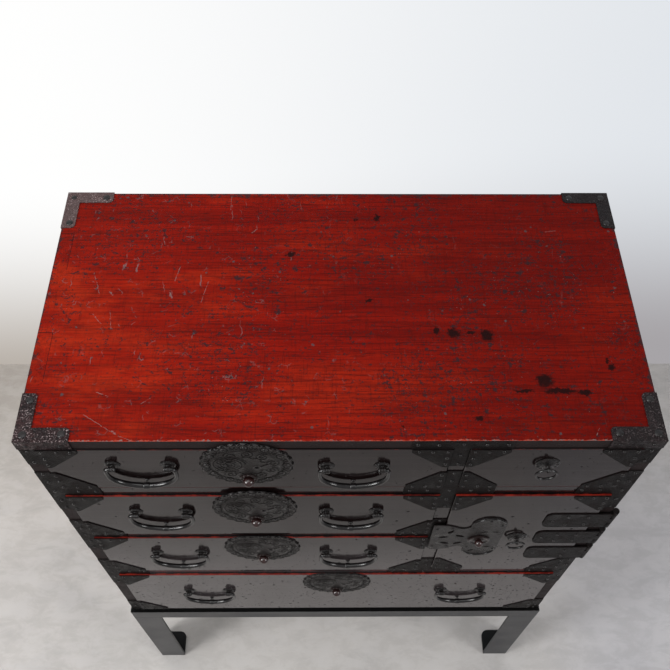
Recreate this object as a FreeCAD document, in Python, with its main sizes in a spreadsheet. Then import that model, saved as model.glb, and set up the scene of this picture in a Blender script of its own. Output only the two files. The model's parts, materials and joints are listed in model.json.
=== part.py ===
"""A clothing chest of drawers with iron fittings, standing on a low steel frame.

The origin is on the floor, under the middle of everything. The front looks along -Y.
"""
import FreeCAD, Part
import math
import os

import Sketcher

doc = FreeCAD.newDocument("clothing_chest")

# Every size that can be set by itself, in millimetres unless its name says share or count.
SIZES = {
    # carcass
    "chest_width": 909,
    "chest_depth": 462,
    "top_thick": 22,
    "side_thick": 22.5,
    "bottom_thick": 20,
    "back_thick": 9,
    "divider_thick": 23,
    "divider_offset": 171.5,
    "row1_height": 138,
    "row2_height": 171,
    "row3_height": 186,
    "row4_height": 244,
    "upper_rail_height": 27,
    "middle_rail_height": 21,
    "lower_rail_height": 26,
    "rail_depth": 45,
    "shelf_thick": 12,
    "cupboard_floor_thick": 14,
    "tenon_setback": 105,
    "tenon_length": 88,
    "tenon_pitch": 180,
    "tenon_count": 2,
    # steel stand
    "stand_height": 430,
    "stand_side_overhang": 5.5,
    "stand_front_overhang": 8,
    "stand_back_overhang": 6,
    "stand_rail_height": 46,
    "stand_flange": 40,
    "stand_steel": 5,
    "leg_width": 60,
    "foot_thick": 6,
    "foot_corner_radius": 16,
    # drawers and door
    "front_thick": 20,
    "front_gap": 1,
    "front_edge_round": 1.2,
    "row1_proud": 2,
    "row2_proud": 4,
    "row3_proud": 4,
    "row4_proud": 5,
    "door_proud": 5,
    "drawer_run_gap": 0.3,
    "drawer_side_thick": 10,
    "drawer_side_drop": 12,
    "drawer_back_thick": 9,
    "drawer_floor_thick": 6,
    "drawer_floor_lift": 3,
    "drawer_back_clear": 15,
    # flat irons
    "iron_thick": 1.5,
    "corner_iron_reach": 58,
    "corner_iron_tip": 9,
    "bracket_arm": 76,
    "bracket_width": 21,
    "bracket_round": 7,
    "tee_arm": 60,
    "tee_reach": 60,
    "end_iron_reach": 50,
    "patch_offset": 140,
    "patch_length": 100,
    "patch_height": 14,
    # round drawer locks
    "lock_offset": 137,
    "lock_drop": 48,
    "lock_radius": 69,
    "lock_thick": 2,
    "lock_flat": 56,
    "lobe_count": 24,
    "lobe_radius": 8.4,
    "field_radius": 52,
    "field_height": 1,
    "disc_radius": 27,
    "disc_height": 0.6,
    "disc_offset": 24,
    "disc_lift": 5,
    "key_offset": 15,
    "key_lower": 6,
    "key_hole_radius": 2.6,
    "key_slot_gap": 4,
    "key_slot_length": 13,
    "key_slot_width": 2.4,
    "key_slot_slant": 34,
    "lock_case_width": 74,
    "lock_case_height": 50,
    "lock_case_depth": 12,
    "lock_case_drop": 14,
    "case_gap": 0.2,
    # turned knobs on the locks
    "knob_drop": 45,
    "knob_length": 14.5,
    "knob_radius": 8,
    "knob_neck_radius": 5,
    "knob_rose_radius": 14,
    "knob_rose_thick": 3,
    # hanging bail handles
    "handle_left_offset": 292,
    "handle_right_offset": 20,
    "handle_wide_left": 266,
    "handle_wide_right": 260,
    "handle1_drop": 49.5,
    "handle1_right_drop": 55,
    "handle2_drop": 64,
    "handle3_drop": 75.5,
    "handle4_drop": 105,
    "eye_spacing": 81,
    "eye_reach": 8,
    "eye_radius": 4.8,
    "eye_width": 9,
    "eye_neck_radius": 4,
    "pin_radius": 3,
    "pin_gap": 0.3,
    "pin_proud": 1,
    "rose_radius": 11.7,
    "rose_thick": 2.5,
    "bail_half_width": 50.5,
    "bail_drop": 59,
    "bail_side": 18,
    "bail_curl": 5.8,
    "bail_middle_radius": 4.6,
    "stud_radius": 3,
    "stud_drop": 55,
    "stud_collar_radius": 3.8,
    "stud_collar_thick": 0.6,
    # carrying handles at the ends
    "carry_drop": 60,
    "carry_setback": 252,
    "carry_spacing": 103,
    "carry_reach": 18,
    "carry_half_width": 62,
    "carry_bail_drop": 60,
    # ring pulls
    "small_ring_offset": 303,
    "small_ring_drop": 50,
    "door_ring_offset": 315,
    "door_ring_drop": 187,
    "ring_radius": 15.5,
    "ring_wire_radius": 1.9,
    "ring_reach": 11,
    "ring_eye_radius": 4.6,
    "ring_eye_width": 4,
    "ring_neck_radius": 3,
    "ring_rose_radius": 18.5,
    "ring_rose_thick": 2.5,
    "ring_gap": 0.7,
    # strap hinges of the door
    "hinge_count": 3,
    "hinge_drop": 107,
    "hinge_pitch": 82,
    "hinge_height": 58,
    "strap_length": 113.5,
    "strap_thick": 2,
    "strap_round": 14,
    "knuckle_radius": 5.5,
    "knuckle_gap": 0.4,
    "hinge_pin_radius": 2.5,
    "hinge_pin_gap": 0.1,
    "hinge_pin_head": 3,
    "hinge_stand_off": 0.4,
    "leaf_length": 52,
    # openwork lock of the door
    "door_lock_offset": 258,
    "door_lock_drop": 188,
    "door_lock_half_width": 30,
    "door_lock_half_height": 92,
    "door_lock_wing_length": 65,
    "door_lock_wing_half_height": 57,
    "leaf_hole_length": 20,
    "leaf_hole_radius": 13,
    "small_leaf_length": 15,
    "small_leaf_radius": 11,
    # knob of the door lock, on its own dished rose
    "door_knob_inset": 9,
    "door_knob_lower": 9,
    "door_knob_length": 14,
    "door_knob_rose_radius": 20,
    "cut_overrun": 1,
}


def fill_sheet():
    """Write each size and its name into the spreadsheet."""
    sheet = doc.addObject("Spreadsheet::Sheet", "Sizes")
    for row, (alias, number) in enumerate(SIZES.items(), start=1):
        sheet.set(f"A{row}", alias)
        sheet.set(f"B{row}", str(number))
        sheet.setAlias(f"B{row}", alias)
    doc.recompute()
    return sheet


SHEET = fill_sheet()


class Size:
    """A length that knows its value and the formula of sheet names that gives it."""

    def __init__(self, value, text):
        self.value = float(value)
        self.text = text

    def __float__(self):
        return self.value

    def _pair(self, other):
        if isinstance(other, Size):
            return other
        return Size(other, repr(other))

    def __add__(self, other):
        other = self._pair(other)
        return Size(self.value + other.value, f"({self.text} + {other.text})")

    def __sub__(self, other):
        other = self._pair(other)
        return Size(self.value - other.value, f"({self.text} - {other.text})")

    def __mul__(self, factor):
        factor = self._pair(factor)
        return Size(self.value * factor.value, f"({self.text} * {factor.text})")

    def __truediv__(self, factor):
        factor = self._pair(factor)
        return Size(self.value / factor.value, f"({self.text} / {factor.text})")

    def __neg__(self):
        return self * -1

    __radd__ = __add__
    __rmul__ = __mul__


def largest(first, *others):
    """The largest of several lengths."""
    top = first
    for other in others:
        top = Size(max(top.value, other.value), f"max({top.text}; {other.text})")
    return top


class Sizes:
    """The sheet's cells by name."""

    def __getattr__(self, name):
        return Size(SHEET.get(name), "Sizes." + name)


def whole(number):
    """A count from the sheet as a whole number."""
    return int(round(float(number)))


size = Sizes()
ZERO = Size(0, "0")

# Heights of the shelves and rows, from the floor up.
chest_low = size.stand_height
row4_low = chest_low + size.bottom_thick
row4_top = row4_low + size.row4_height
row3_low = row4_top + size.lower_rail_height
row3_top = row3_low + size.row3_height
row2_low = row3_top + size.middle_rail_height
row2_top = row2_low + size.row2_height
row1_low = row2_top + size.upper_rail_height
row1_top = row1_low + size.row1_height
chest_top = row1_top + size.top_thick
door_low = row3_low + size.cupboard_floor_thick

# Depths. The knobs of the foremost drawer reach furthest forward, the stand furthest back.
most_proud = largest(size.row1_proud, size.row2_proud, size.row3_proud, size.row4_proud,
                     size.door_proud)
front_reach = most_proud + size.lock_thick + size.field_height + size.knob_length
whole_depth = front_reach + size.chest_depth + size.stand_back_overhang
front = front_reach - whole_depth / 2
back = front + size.chest_depth
back_inside = back - size.back_thick
inside_depth = size.chest_depth - size.back_thick

# Widths, from the middle of the chest.
half_width = size.chest_width / 2
left_inside = size.side_thick - half_width
right_inside = half_width - size.side_thick
divider_left = size.divider_offset - size.divider_thick / 2
divider_right = size.divider_offset + size.divider_thick / 2

AXES = ("x", "y", "z")
TURN_TO_FRONT = FreeCAD.Rotation(FreeCAD.Vector(1, 0, 0), 90)
TURN_TO_SIDE = FreeCAD.Rotation(FreeCAD.Vector(0, 1, 0), 90)
QUARTER = 90
HALF = 180
FULL = 360


def about_z(angle):
    return FreeCAD.Rotation(FreeCAD.Vector(0, 0, 1), angle)


def about_y(angle):
    return FreeCAD.Rotation(FreeCAD.Vector(0, 1, 0), angle)


def bind(thing, **formulas):
    """Tie properties of a document object to lengths of the sheet."""
    for prop, length in formulas.items():
        thing.setExpression(prop, length.text)


def place(thing, at, turn=None):
    """Turn an object and tie the place of its origin to three lengths."""
    if turn is not None:
        thing.Placement = FreeCAD.Placement(FreeCAD.Vector(), turn)
    for axis, length in zip(AXES, at):
        thing.setExpression("Placement.Base." + axis, length.text)
    return thing


def box(name, low, extent):
    """A square-edged block from its low corner and its three lengths."""
    block = doc.addObject("Part::Box", name)
    bind(block, Length=extent[0], Width=extent[1], Height=extent[2])
    return place(block, low)


def rod(name, radius, length, at, turn=None):
    """A round bar that starts at a point; unturned it runs up."""
    bar = doc.addObject("Part::Cylinder", name)
    bind(bar, Radius=radius, Height=length)
    return place(bar, at, turn)


def join(name, pieces):
    """Several shapes as one solid."""
    fused = doc.addObject("Part::MultiFuse", name)
    fused.Shapes = pieces
    fused.Refine = True
    return fused


def cut_away(name, base, tool):
    """One shape less another."""
    rest = doc.addObject("Part::Cut", name)
    rest.Base = base
    rest.Tool = tool
    rest.Refine = True
    return rest


def group(name, pieces):
    """Separate solids under one name."""
    together = doc.addObject("Part::Compound", name)
    together.Links = pieces
    return together


def copy_of(master, name, at, turn=None):
    """The same form again in another place."""
    link = doc.addObject("App::Link", name)
    link.LinkedObject = master
    return place(link, at, turn)


def new_body(name, at, turn=None):
    """An empty body with its origin at a point."""
    return place(doc.addObject("PartDesign::Body", name), at, turn)


def sketch_on(body, role, name):
    """A sketch on one of the body's own base planes."""
    sketch = body.newObject("Sketcher::SketchObject", name)
    plane = [feature for feature in body.Origin.OriginFeatures if feature.Role == role][0]
    sketch.AttachmentSupport = [(plane, "")]
    sketch.MapMode = "FlatFace"
    return sketch


def draw_outline(sketch, points):
    """A closed outline of straight lines through points given as pairs of lengths."""
    first = sketch.GeometryCount
    spots = [FreeCAD.Vector(float(across), float(up), 0) for across, up in points]
    for number, spot in enumerate(spots):
        sketch.addGeometry(Part.LineSegment(spot, spots[(number + 1) % len(spots)]))
    for number, (across, up) in enumerate(points):
        line = first + number
        following = first + (number + 1) % len(points)
        sketch.addConstraint(Sketcher.Constraint("Coincident", line, 2, following, 1))
        for kind, length in (("DistanceX", across), ("DistanceY", up)):
            rule = Sketcher.Constraint(kind, -1, 1, line, 1, length.value)
            sketch.setExpression(f"Constraints[{sketch.addConstraint(rule)}]", length.text)


def draw_circle(sketch, across, up, radius):
    """A circle from its middle and radius."""
    middle = FreeCAD.Vector(float(across), float(up), 0)
    ring = sketch.addGeometry(Part.Circle(middle, FreeCAD.Vector(0, 0, 1), float(radius)))
    for kind, length in (("DistanceX", across), ("DistanceY", up)):
        rule = Sketcher.Constraint(kind, -1, 1, ring, 3, length.value)
        sketch.setExpression(f"Constraints[{sketch.addConstraint(rule)}]", length.text)
    rule = Sketcher.Constraint("Radius", ring, radius.value)
    sketch.setExpression(f"Constraints[{sketch.addConstraint(rule)}]", radius.text)


def pad(body, sketch, length, name, reverse=False):
    """Solid material drawn out from a sketch."""
    feature = body.newObject("PartDesign::Pad", name)
    feature.Profile = sketch
    feature.Reversed = reverse
    bind(feature, Length=length)
    body.Tip = feature
    doc.recompute()
    return feature


def pocket(body, sketch, length, name, reverse=False):
    """Material cut away behind a sketch."""
    before = body.Shape.Volume
    feature = body.newObject("PartDesign::Pocket", name)
    feature.Profile = sketch
    feature.Reversed = reverse
    bind(feature, Length=length)
    body.Tip = feature
    doc.recompute()
    if body.Shape.Volume >= before:
        raise RuntimeError(f"{name} cuts nothing")
    return feature


def round_edges(body, base, radius, chosen, name, kind="PartDesign::Fillet"):
    """Round or bevel those edges of a feature that a test picks."""
    picked = [f"Edge{number}" for number, edge in enumerate(base.Shape.Edges, start=1)
              if chosen(edge)]
    feature = body.newObject(kind, name)
    feature.Base = (base, picked)
    if kind == "PartDesign::Fillet":
        bind(feature, Radius=radius)
    else:
        bind(feature, Size=radius)
    body.Tip = feature
    doc.recompute()
    return feature


def near(first, second, tolerance=1e-3):
    return abs(float(first) - float(second)) < tolerance


def upright_at(across, depth):
    """A test for the upright edge at a place of a body's own frame."""
    def chosen(edge):
        ends = [vertex.Point for vertex in edge.Vertexes]
        return all(near(end.x, across) and near(end.y, depth) for end in ends) and len(ends) == 2
    return chosen


def through_at(across, height):
    """A test for the edge that runs front to back at a place of a body's own frame."""
    def chosen(edge):
        ends = [vertex.Point for vertex in edge.Vertexes]
        return all(near(end.x, across) and near(end.z, height) for end in ends) and len(ends) == 2
    return chosen


NODES = {}


def publish(name, thing):
    """Keep a finished sub-part under the name that its file gets."""
    thing.Label = name
    NODES[name] = thing
    return thing


# The carcass: boards joined at the corners, two shelves across and one on the left.

def tenon_blocks(label, low_x):
    """The places of the finger joints along one end of the top board."""
    blocks = []
    for number in range(whole(size.tenon_count)):
        far = back - size.tenon_setback - size.tenon_pitch * number
        blocks.append(box(f"{label}_{number + 1}", (low_x, far - size.tenon_length, row1_top),
                          (size.side_thick, size.tenon_length, size.top_thick)))
    return blocks


def make_top_board():
    slab = box("top_slab", (-half_width, front, row1_top),
               (size.chest_width, size.chest_depth, size.top_thick))
    notches = tenon_blocks("left_notch", -half_width) + tenon_blocks("right_notch", right_inside)
    publish("top_board", cut_away("top_board", slab, join("top_notches", notches)))


def make_side_board(side, low_x):
    slab = box(f"{side}_slab", (low_x, front, chest_low),
               (size.side_thick, size.chest_depth, row1_top - chest_low))
    pieces = [slab] + tenon_blocks(f"{side}_tenon", low_x)
    publish(f"{side}_side_board", join(f"{side}_side_board", pieces))


def shelf(name, low_x, high_x, top, rail_height):
    """A shelf with a deep rail along its front edge and a thin board behind it."""
    body = new_body(name, (low_x, front, top))
    sketch = sketch_on(body, "YZ_Plane", f"{name}_section")
    draw_outline(sketch, [(ZERO, ZERO), (inside_depth, ZERO), (inside_depth, -size.shelf_thick),
                          (size.rail_depth, -size.shelf_thick), (size.rail_depth, -rail_height),
                          (ZERO, -rail_height)])
    pad(body, sketch, high_x - low_x, f"{name}_run")
    return body


def make_carcass():
    make_top_board()
    make_side_board("left", -half_width)
    make_side_board("right", right_inside)
    inside_width = right_inside - left_inside
    publish("bottom_board", box("bottom_board", (left_inside, front, chest_low),
                                (inside_width, size.chest_depth, size.bottom_thick)))
    publish("back_panel", box("back_panel", (left_inside, back_inside, row4_low),
                              (inside_width, size.back_thick, row1_top - row4_low)))
    publish("centre_divider", box("centre_divider", (divider_left, front, row3_low),
                                  (size.divider_thick, inside_depth, row1_top - row3_low)))
    halves = [shelf("upper_shelf_left", left_inside, divider_left, row2_top + size.upper_rail_height,
                    size.upper_rail_height),
              shelf("upper_shelf_right", divider_right, right_inside,
                    row2_top + size.upper_rail_height, size.upper_rail_height)]
    publish("upper_shelf", group("upper_shelf", halves))
    publish("middle_shelf", shelf("middle_shelf", left_inside, divider_left, row2_low,
                                  size.middle_rail_height))
    publish("lower_shelf", shelf("lower_shelf", left_inside, right_inside, row3_low,
                                 size.lower_rail_height))
    publish("cupboard_floor", box("cupboard_floor", (divider_right, front, row3_low),
                                  (right_inside - divider_right, inside_depth,
                                   size.cupboard_floor_thick)))


# The stand: angle steel mitred at the corners, on four angle legs with foot plates.

stand_left = -half_width - size.stand_side_overhang
stand_right = half_width + size.stand_side_overhang
stand_front = front - size.stand_front_overhang
stand_back = back + size.stand_back_overhang
stand_corners = (("front_left", stand_left, stand_front, 0),
                 ("front_right", stand_right, stand_front, QUARTER),
                 ("back_right", stand_right, stand_back, HALF),
                 ("back_left", stand_left, stand_back, HALF + QUARTER))


def stand_rail(name, length, at, turn):
    """One angle of the frame, with both ends mitred."""
    body = new_body(name, at, turn)
    section = sketch_on(body, "YZ_Plane", f"{name}_section")
    draw_outline(section, [(ZERO, ZERO), (size.stand_flange, ZERO),
                           (size.stand_flange, -size.stand_steel),
                           (size.stand_steel, -size.stand_steel),
                           (size.stand_steel, -size.stand_rail_height),
                           (ZERO, -size.stand_rail_height)])
    pad(body, section, length, f"{name}_run")
    mitres = sketch_on(body, "XY_Plane", f"{name}_mitres")
    beyond = size.stand_flange + size.cut_overrun
    draw_outline(mitres, [(ZERO, ZERO), (beyond, beyond), (ZERO, beyond)])
    draw_outline(mitres, [(length, ZERO), (length, beyond), (length - beyond, beyond)])
    pocket(body, mitres, size.stand_rail_height + size.cut_overrun, f"{name}_ends")
    return body


def make_stand():
    across = stand_right - stand_left
    deep = stand_back - stand_front
    rails = []
    legs = []
    plates = []
    leg_top = size.stand_height - size.stand_rail_height
    for number, (corner, x, y, angle) in enumerate(stand_corners):
        length = (across, deep)[number % 2]
        rails.append(stand_rail(f"{corner}_rail", length, (x, y, size.stand_height),
                                about_z(angle)))
        leg = new_body(f"{corner}_leg", (x, y, size.foot_thick), about_z(angle))
        section = sketch_on(leg, "XY_Plane", f"{corner}_leg_section")
        wide = size.leg_width
        steel = size.stand_steel
        draw_outline(section, [(ZERO, ZERO), (wide, ZERO), (wide, steel), (steel, steel),
                               (steel, wide), (ZERO, wide)])
        pad(leg, section, leg_top - size.foot_thick, f"{corner}_leg_run")
        legs.append(leg)
        plate = new_body(f"{corner}_foot", (x, y, ZERO), about_z(angle))
        outline = sketch_on(plate, "XY_Plane", f"{corner}_foot_outline")
        draw_outline(outline, [(ZERO, ZERO), (wide, ZERO), (wide, wide), (ZERO, wide)])
        slab = pad(plate, outline, size.foot_thick, f"{corner}_foot_slab")
        round_edges(plate, slab, size.foot_corner_radius, upright_at(wide, wide),
                    f"{corner}_foot_round")
        plates.append(plate)
    publish("stand_rails", group("stand_rails", rails))
    publish("stand_legs", group("stand_legs", legs))
    publish("stand_foot_plates", group("stand_foot_plates", plates))


# The irons on the carcass.

def make_top_corner_irons():
    """Angle brackets that lie on the top and turn down over its edges."""
    thick = size.iron_thick
    arm = size.bracket_arm
    wide = size.bracket_width
    master = new_body("top_bracket", (ZERO, ZERO, ZERO))
    flat = sketch_on(master, "XY_Plane", "top_bracket_flat")
    draw_outline(flat, [(-thick, -thick), (arm, -thick), (arm, wide), (wide, wide), (wide, arm),
                        (-thick, arm)])
    plate = pad(master, flat, thick, "top_bracket_plate")

    def arm_end(edge):
        return upright_at(arm, wide)(edge) or upright_at(wide, arm)(edge)

    round_edges(master, plate, size.bracket_round, arm_end, "top_bracket_rounds")
    flanges = sketch_on(master, "XY_Plane", "top_bracket_flanges")
    draw_outline(flanges, [(-thick, -thick), (arm, -thick), (arm, ZERO), (ZERO, ZERO),
                           (ZERO, arm), (-thick, arm)])
    pad(master, flanges, size.top_thick, "top_bracket_flange", reverse=True)
    corners = (("front_left", -half_width, front, 0),
               ("front_right", half_width, front, QUARTER),
               ("back_right", half_width, back, HALF),
               ("back_left", -half_width, back, HALF + QUARTER))
    irons = [copy_of(master, f"top_iron_{corner}", (x, y, chest_top), about_z(angle))
             for corner, x, y, angle in corners]
    publish("top_corner_irons", group("top_corner_irons", irons))


def strip(name, low_x, high_x, low_z, high_z):
    """A flat iron on the front of the carcass."""
    return box(name, (low_x, front - size.iron_thick, low_z),
               (high_x - low_x, size.iron_thick, high_z - low_z))


def tee_iron(name, upright, upright_span, arms, arm_span):
    """A strap up the front of a board with an arm along the rail that meets it."""
    pieces = [strip(f"{name}_upright", upright[0], upright[1], upright_span[0], upright_span[1]),
              strip(f"{name}_arm", arms[0], arms[1], arm_span[0], arm_span[1])]
    return join(name, pieces)


def make_stile_irons():
    reach = size.tee_reach
    arm = size.tee_arm
    rails = (("upper", row2_top, row1_low), ("middle", row3_top, row2_low),
             ("lower", row4_top, row3_low))
    irons = []
    for side, outer, inner, arm_end in (("left", -half_width, left_inside, left_inside + arm),
                                        ("right", half_width, right_inside,
                                         right_inside - arm)):
        edges = (outer, inner) if side == "left" else (inner, outer)
        arms = (outer, arm_end) if side == "left" else (arm_end, outer)
        irons.append(strip(f"{side}_top_iron", edges[0], edges[1],
                           row1_top - size.end_iron_reach, row1_top))
        for level, rail_low, rail_top in rails:
            if side == "right" and level == "middle":
                continue
            irons.append(tee_iron(f"{side}_{level}_iron", edges, (rail_low - reach, rail_top + reach),
                                  arms, (rail_low, rail_top)))
        irons.append(tee_iron(f"{side}_bottom_iron", edges,
                              (chest_low, row4_low + size.end_iron_reach), arms,
                              (chest_low, row4_low)))
    publish("stile_irons", group("stile_irons", irons))


def make_divider_irons():
    reach = size.tee_reach
    arm = size.tee_arm
    edges = (divider_left, divider_right)
    both = (divider_left - arm, divider_right + arm)
    irons = [tee_iron("divider_top_iron", edges, (row1_top - reach, chest_top), both,
                      (row1_top, chest_top)),
             tee_iron("divider_upper_iron", edges, (row2_top - reach, row1_low + reach), both,
                      (row2_top, row1_low)),
             tee_iron("divider_middle_iron", edges, (row3_top - reach, row2_low + reach),
                      (divider_left - arm, divider_right), (row3_top, row2_low)),
             tee_iron("divider_lower_iron", edges, (row4_top, row3_low + reach), both,
                      (row4_top, row3_low))]
    middle = -size.patch_offset
    irons.append(strip("rail_patch", middle - size.patch_length / 2, middle + size.patch_length / 2,
                       row3_low - size.patch_height, row3_low))
    publish("divider_irons", group("divider_irons", irons))


# Forms that are used more than once, made at the origin and copied into place.

def store(master):
    """Mark a form that only serves as a pattern for copies."""
    master.Label = "pattern_" + master.Name
    return master


def make_corner_iron():
    """A three-cornered plate for the top right corner of a front."""
    reach = size.corner_iron_reach
    tip = size.corner_iron_tip
    body = new_body("corner_iron", (ZERO, ZERO, ZERO))
    outline = sketch_on(body, "XZ_Plane", "corner_iron_outline")
    draw_outline(outline, [(ZERO, ZERO), (ZERO, -reach), (-tip, -reach), (-reach, -tip),
                           (-reach, ZERO)])
    pad(body, outline, size.iron_thick, "corner_iron_plate")
    return store(body)


def make_eye_post(name, reach, eye_radius, eye_width, bore_radius, neck_radius, rose_radius,
                  rose_thick):
    """A post on a round rose, with an eye across its end."""
    rose = rod(f"{name}_rose", rose_radius, rose_thick, (ZERO, ZERO, ZERO), TURN_TO_FRONT)
    neck = rod(f"{name}_neck", neck_radius, reach, (ZERO, ZERO, ZERO), TURN_TO_FRONT)
    eye = rod(f"{name}_eye", eye_radius, eye_width, (-eye_width / 2, -reach, ZERO), TURN_TO_SIDE)
    solid = join(f"{name}_solid", [rose, neck, eye])
    bore = rod(f"{name}_bore", bore_radius, eye_width + size.cut_overrun * 2,
               (-eye_width / 2 - size.cut_overrun, -reach, ZERO), TURN_TO_SIDE)
    return store(cut_away(name, solid, bore))


def make_knob(name, rose_radius, length):
    """A turned knob: a rose, a neck and a ball."""
    rose = rod(f"{name}_rose", rose_radius, size.knob_rose_thick, (ZERO, ZERO, ZERO),
               TURN_TO_FRONT)
    neck = rod(f"{name}_neck", size.knob_neck_radius, length - size.knob_radius,
               (ZERO, ZERO, ZERO), TURN_TO_FRONT)
    ball = doc.addObject("Part::Sphere", f"{name}_ball")
    bind(ball, Radius=size.knob_radius)
    place(ball, (ZERO, size.knob_radius - length, ZERO))
    return store(join(name, [rose, neck, ball]))


def make_stud():
    """A half-round stud with a thin collar, on which a hanging bail comes to rest."""
    collar = rod("stud_collar", size.stud_collar_radius, size.stud_collar_thick,
                 (ZERO, ZERO, ZERO), TURN_TO_FRONT)
    dome = doc.addObject("Part::Sphere", "stud_dome")
    bind(dome, Radius=size.stud_radius)
    dome.Angle1 = 0
    place(dome, (ZERO, ZERO, ZERO), TURN_TO_FRONT)
    return store(join("stud", [collar, dome]))


# How many sections a bail has round each curl and along its long arc, and how full it has grown
# by the end of the curl, as a share of what its middle gains over its pins.
CURL_STEPS = 4
ARC_STEPS = 12
CURL_SHARE = 0.25


def bail_path(half, drop, curl):
    """The middle line of a bail between its pins, in X and Z about its pivot.

    Half an ellipse hangs between two straight sides. At its top each side turns in, by a tight
    curl, until it lies along the pin.
    """
    side = float(size.bail_side)
    down = drop - side
    hub = FreeCAD.Vector(half - curl, 0, -curl)
    stations = [(FreeCAD.Vector(half - curl, 0, 0), FreeCAD.Vector(1, 0, 0), 0)]
    for step in range(1, CURL_STEPS + 1):
        angle = math.pi / 2 * (1 - step / CURL_STEPS)
        out = FreeCAD.Vector(math.cos(angle), 0, math.sin(angle))
        along = FreeCAD.Vector(math.sin(angle), 0, -math.cos(angle))
        stations.append((hub + out * curl, along, CURL_SHARE * step / CURL_STEPS))
    for step in range(ARC_STEPS + 1):
        angle = math.pi / 2 * (1 - 2 * step / ARC_STEPS)
        spot = FreeCAD.Vector(half * math.sin(angle), 0, -side - down * math.cos(angle))
        along = FreeCAD.Vector(-half * math.cos(angle), 0, -down * math.sin(angle)).normalize()
        fullness = CURL_SHARE + (1 - CURL_SHARE) * math.cos(angle)
        stations.append((spot, along, fullness))
    mirrored = []
    for spot, along, fullness in reversed(stations[:1 + CURL_STEPS]):
        mirrored.append((FreeCAD.Vector(-spot.x, 0, spot.z),
                         FreeCAD.Vector(along.x, 0, -along.z), fullness))
    return stations + mirrored


def make_bail(name, spacing, half, drop):
    """A swinging iron bail, thickest in the middle, with a pin turned in at each end."""
    inner = (float(spacing) - float(size.eye_width)) / 2 - float(size.pin_proud)
    thin = float(size.pin_radius)
    thick = float(size.bail_middle_radius)
    stations = bail_path(float(half), float(drop), float(size.bail_curl))
    rings = []
    for spot, along, fullness in stations:
        radius = thin + (thick - thin) * fullness
        rings.append(Part.Wire(Part.makeCircle(radius, spot, along)))
    bar = Part.makeLoft(rings, True, False)
    curl_start = stations[0][0].x
    ends = []
    for side in (-1, 1):
        ends.append(Part.makeCylinder(thin, curl_start - inner, FreeCAD.Vector(side * inner, 0, 0),
                                      FreeCAD.Vector(side, 0, 0)))
    form = doc.addObject("Part::Feature", name)
    form.Shape = bar.fuse(ends).removeSplitter()
    return store(form)


def make_lock_plate(name, flat):
    """A scalloped round lock plate with a raised field and disc, a keyhole and a slanted slot."""
    body = new_body(name, (ZERO, ZERO, ZERO))
    core = size.lock_radius - size.lobe_radius
    outline = sketch_on(body, "XZ_Plane", f"{name}_round")
    draw_circle(outline, ZERO, ZERO, core)
    pad(body, outline, size.lock_thick, f"{name}_plate")
    lobe = sketch_on(body, "XZ_Plane", f"{name}_lobe")
    draw_circle(lobe, core, ZERO, size.lobe_radius)
    scallop = pad(body, lobe, size.lock_thick, f"{name}_scallop")
    rim = body.newObject("PartDesign::PolarPattern", f"{name}_rim")
    rim.Originals = [scallop]
    rim.Axis = (outline, ["N_Axis"])
    rim.Angle = FULL
    rim.Occurrences = whole(size.lobe_count)
    body.Tip = rim
    doc.recompute()
    field = sketch_on(body, "XZ_Plane", f"{name}_field_outline")
    draw_circle(field, ZERO, ZERO, size.field_radius)
    pad(body, field, size.lock_thick + size.field_height, f"{name}_field")
    disc = sketch_on(body, "XZ_Plane", f"{name}_disc_outline")
    draw_circle(disc, -size.disc_offset, size.disc_lift, size.disc_radius)
    pad(body, disc, size.lock_thick + size.field_height + size.disc_height, f"{name}_disc")
    deep = size.lock_thick + size.field_height + size.disc_height + size.cut_overrun
    hole = sketch_on(body, "XZ_Plane", f"{name}_keyhole_outline")
    draw_circle(hole, size.key_offset, -size.key_lower, size.key_hole_radius)
    pocket(body, hole, deep, f"{name}_keyhole", reverse=True)
    slant = math.radians(float(size.key_slot_slant))
    start = size.key_hole_radius + size.key_slot_gap
    along = (size.key_slot_length * math.cos(slant), size.key_slot_length * math.sin(slant))
    aside = (size.key_slot_width * -math.sin(slant), size.key_slot_width * math.cos(slant))
    low = (size.key_offset + start * math.cos(slant), start * math.sin(slant) - size.key_lower)
    slot = sketch_on(body, "XZ_Plane", f"{name}_slot_outline")
    draw_outline(slot, [low, (low[0] + along[0], low[1] + along[1]),
                        (low[0] + along[0] + aside[0], low[1] + along[1] + aside[1]),
                        (low[0] + aside[0], low[1] + aside[1])])
    pocket(body, slot, deep, f"{name}_slot", reverse=True)
    if flat:
        over = size.lock_radius + size.cut_overrun
        above = sketch_on(body, "XZ_Plane", f"{name}_flat_outline")
        draw_outline(above, [(-over, size.lock_flat), (over, size.lock_flat), (over, over),
                             (-over, over)])
        pocket(body, above, deep, f"{name}_flat", reverse=True)
    return store(body)


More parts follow.
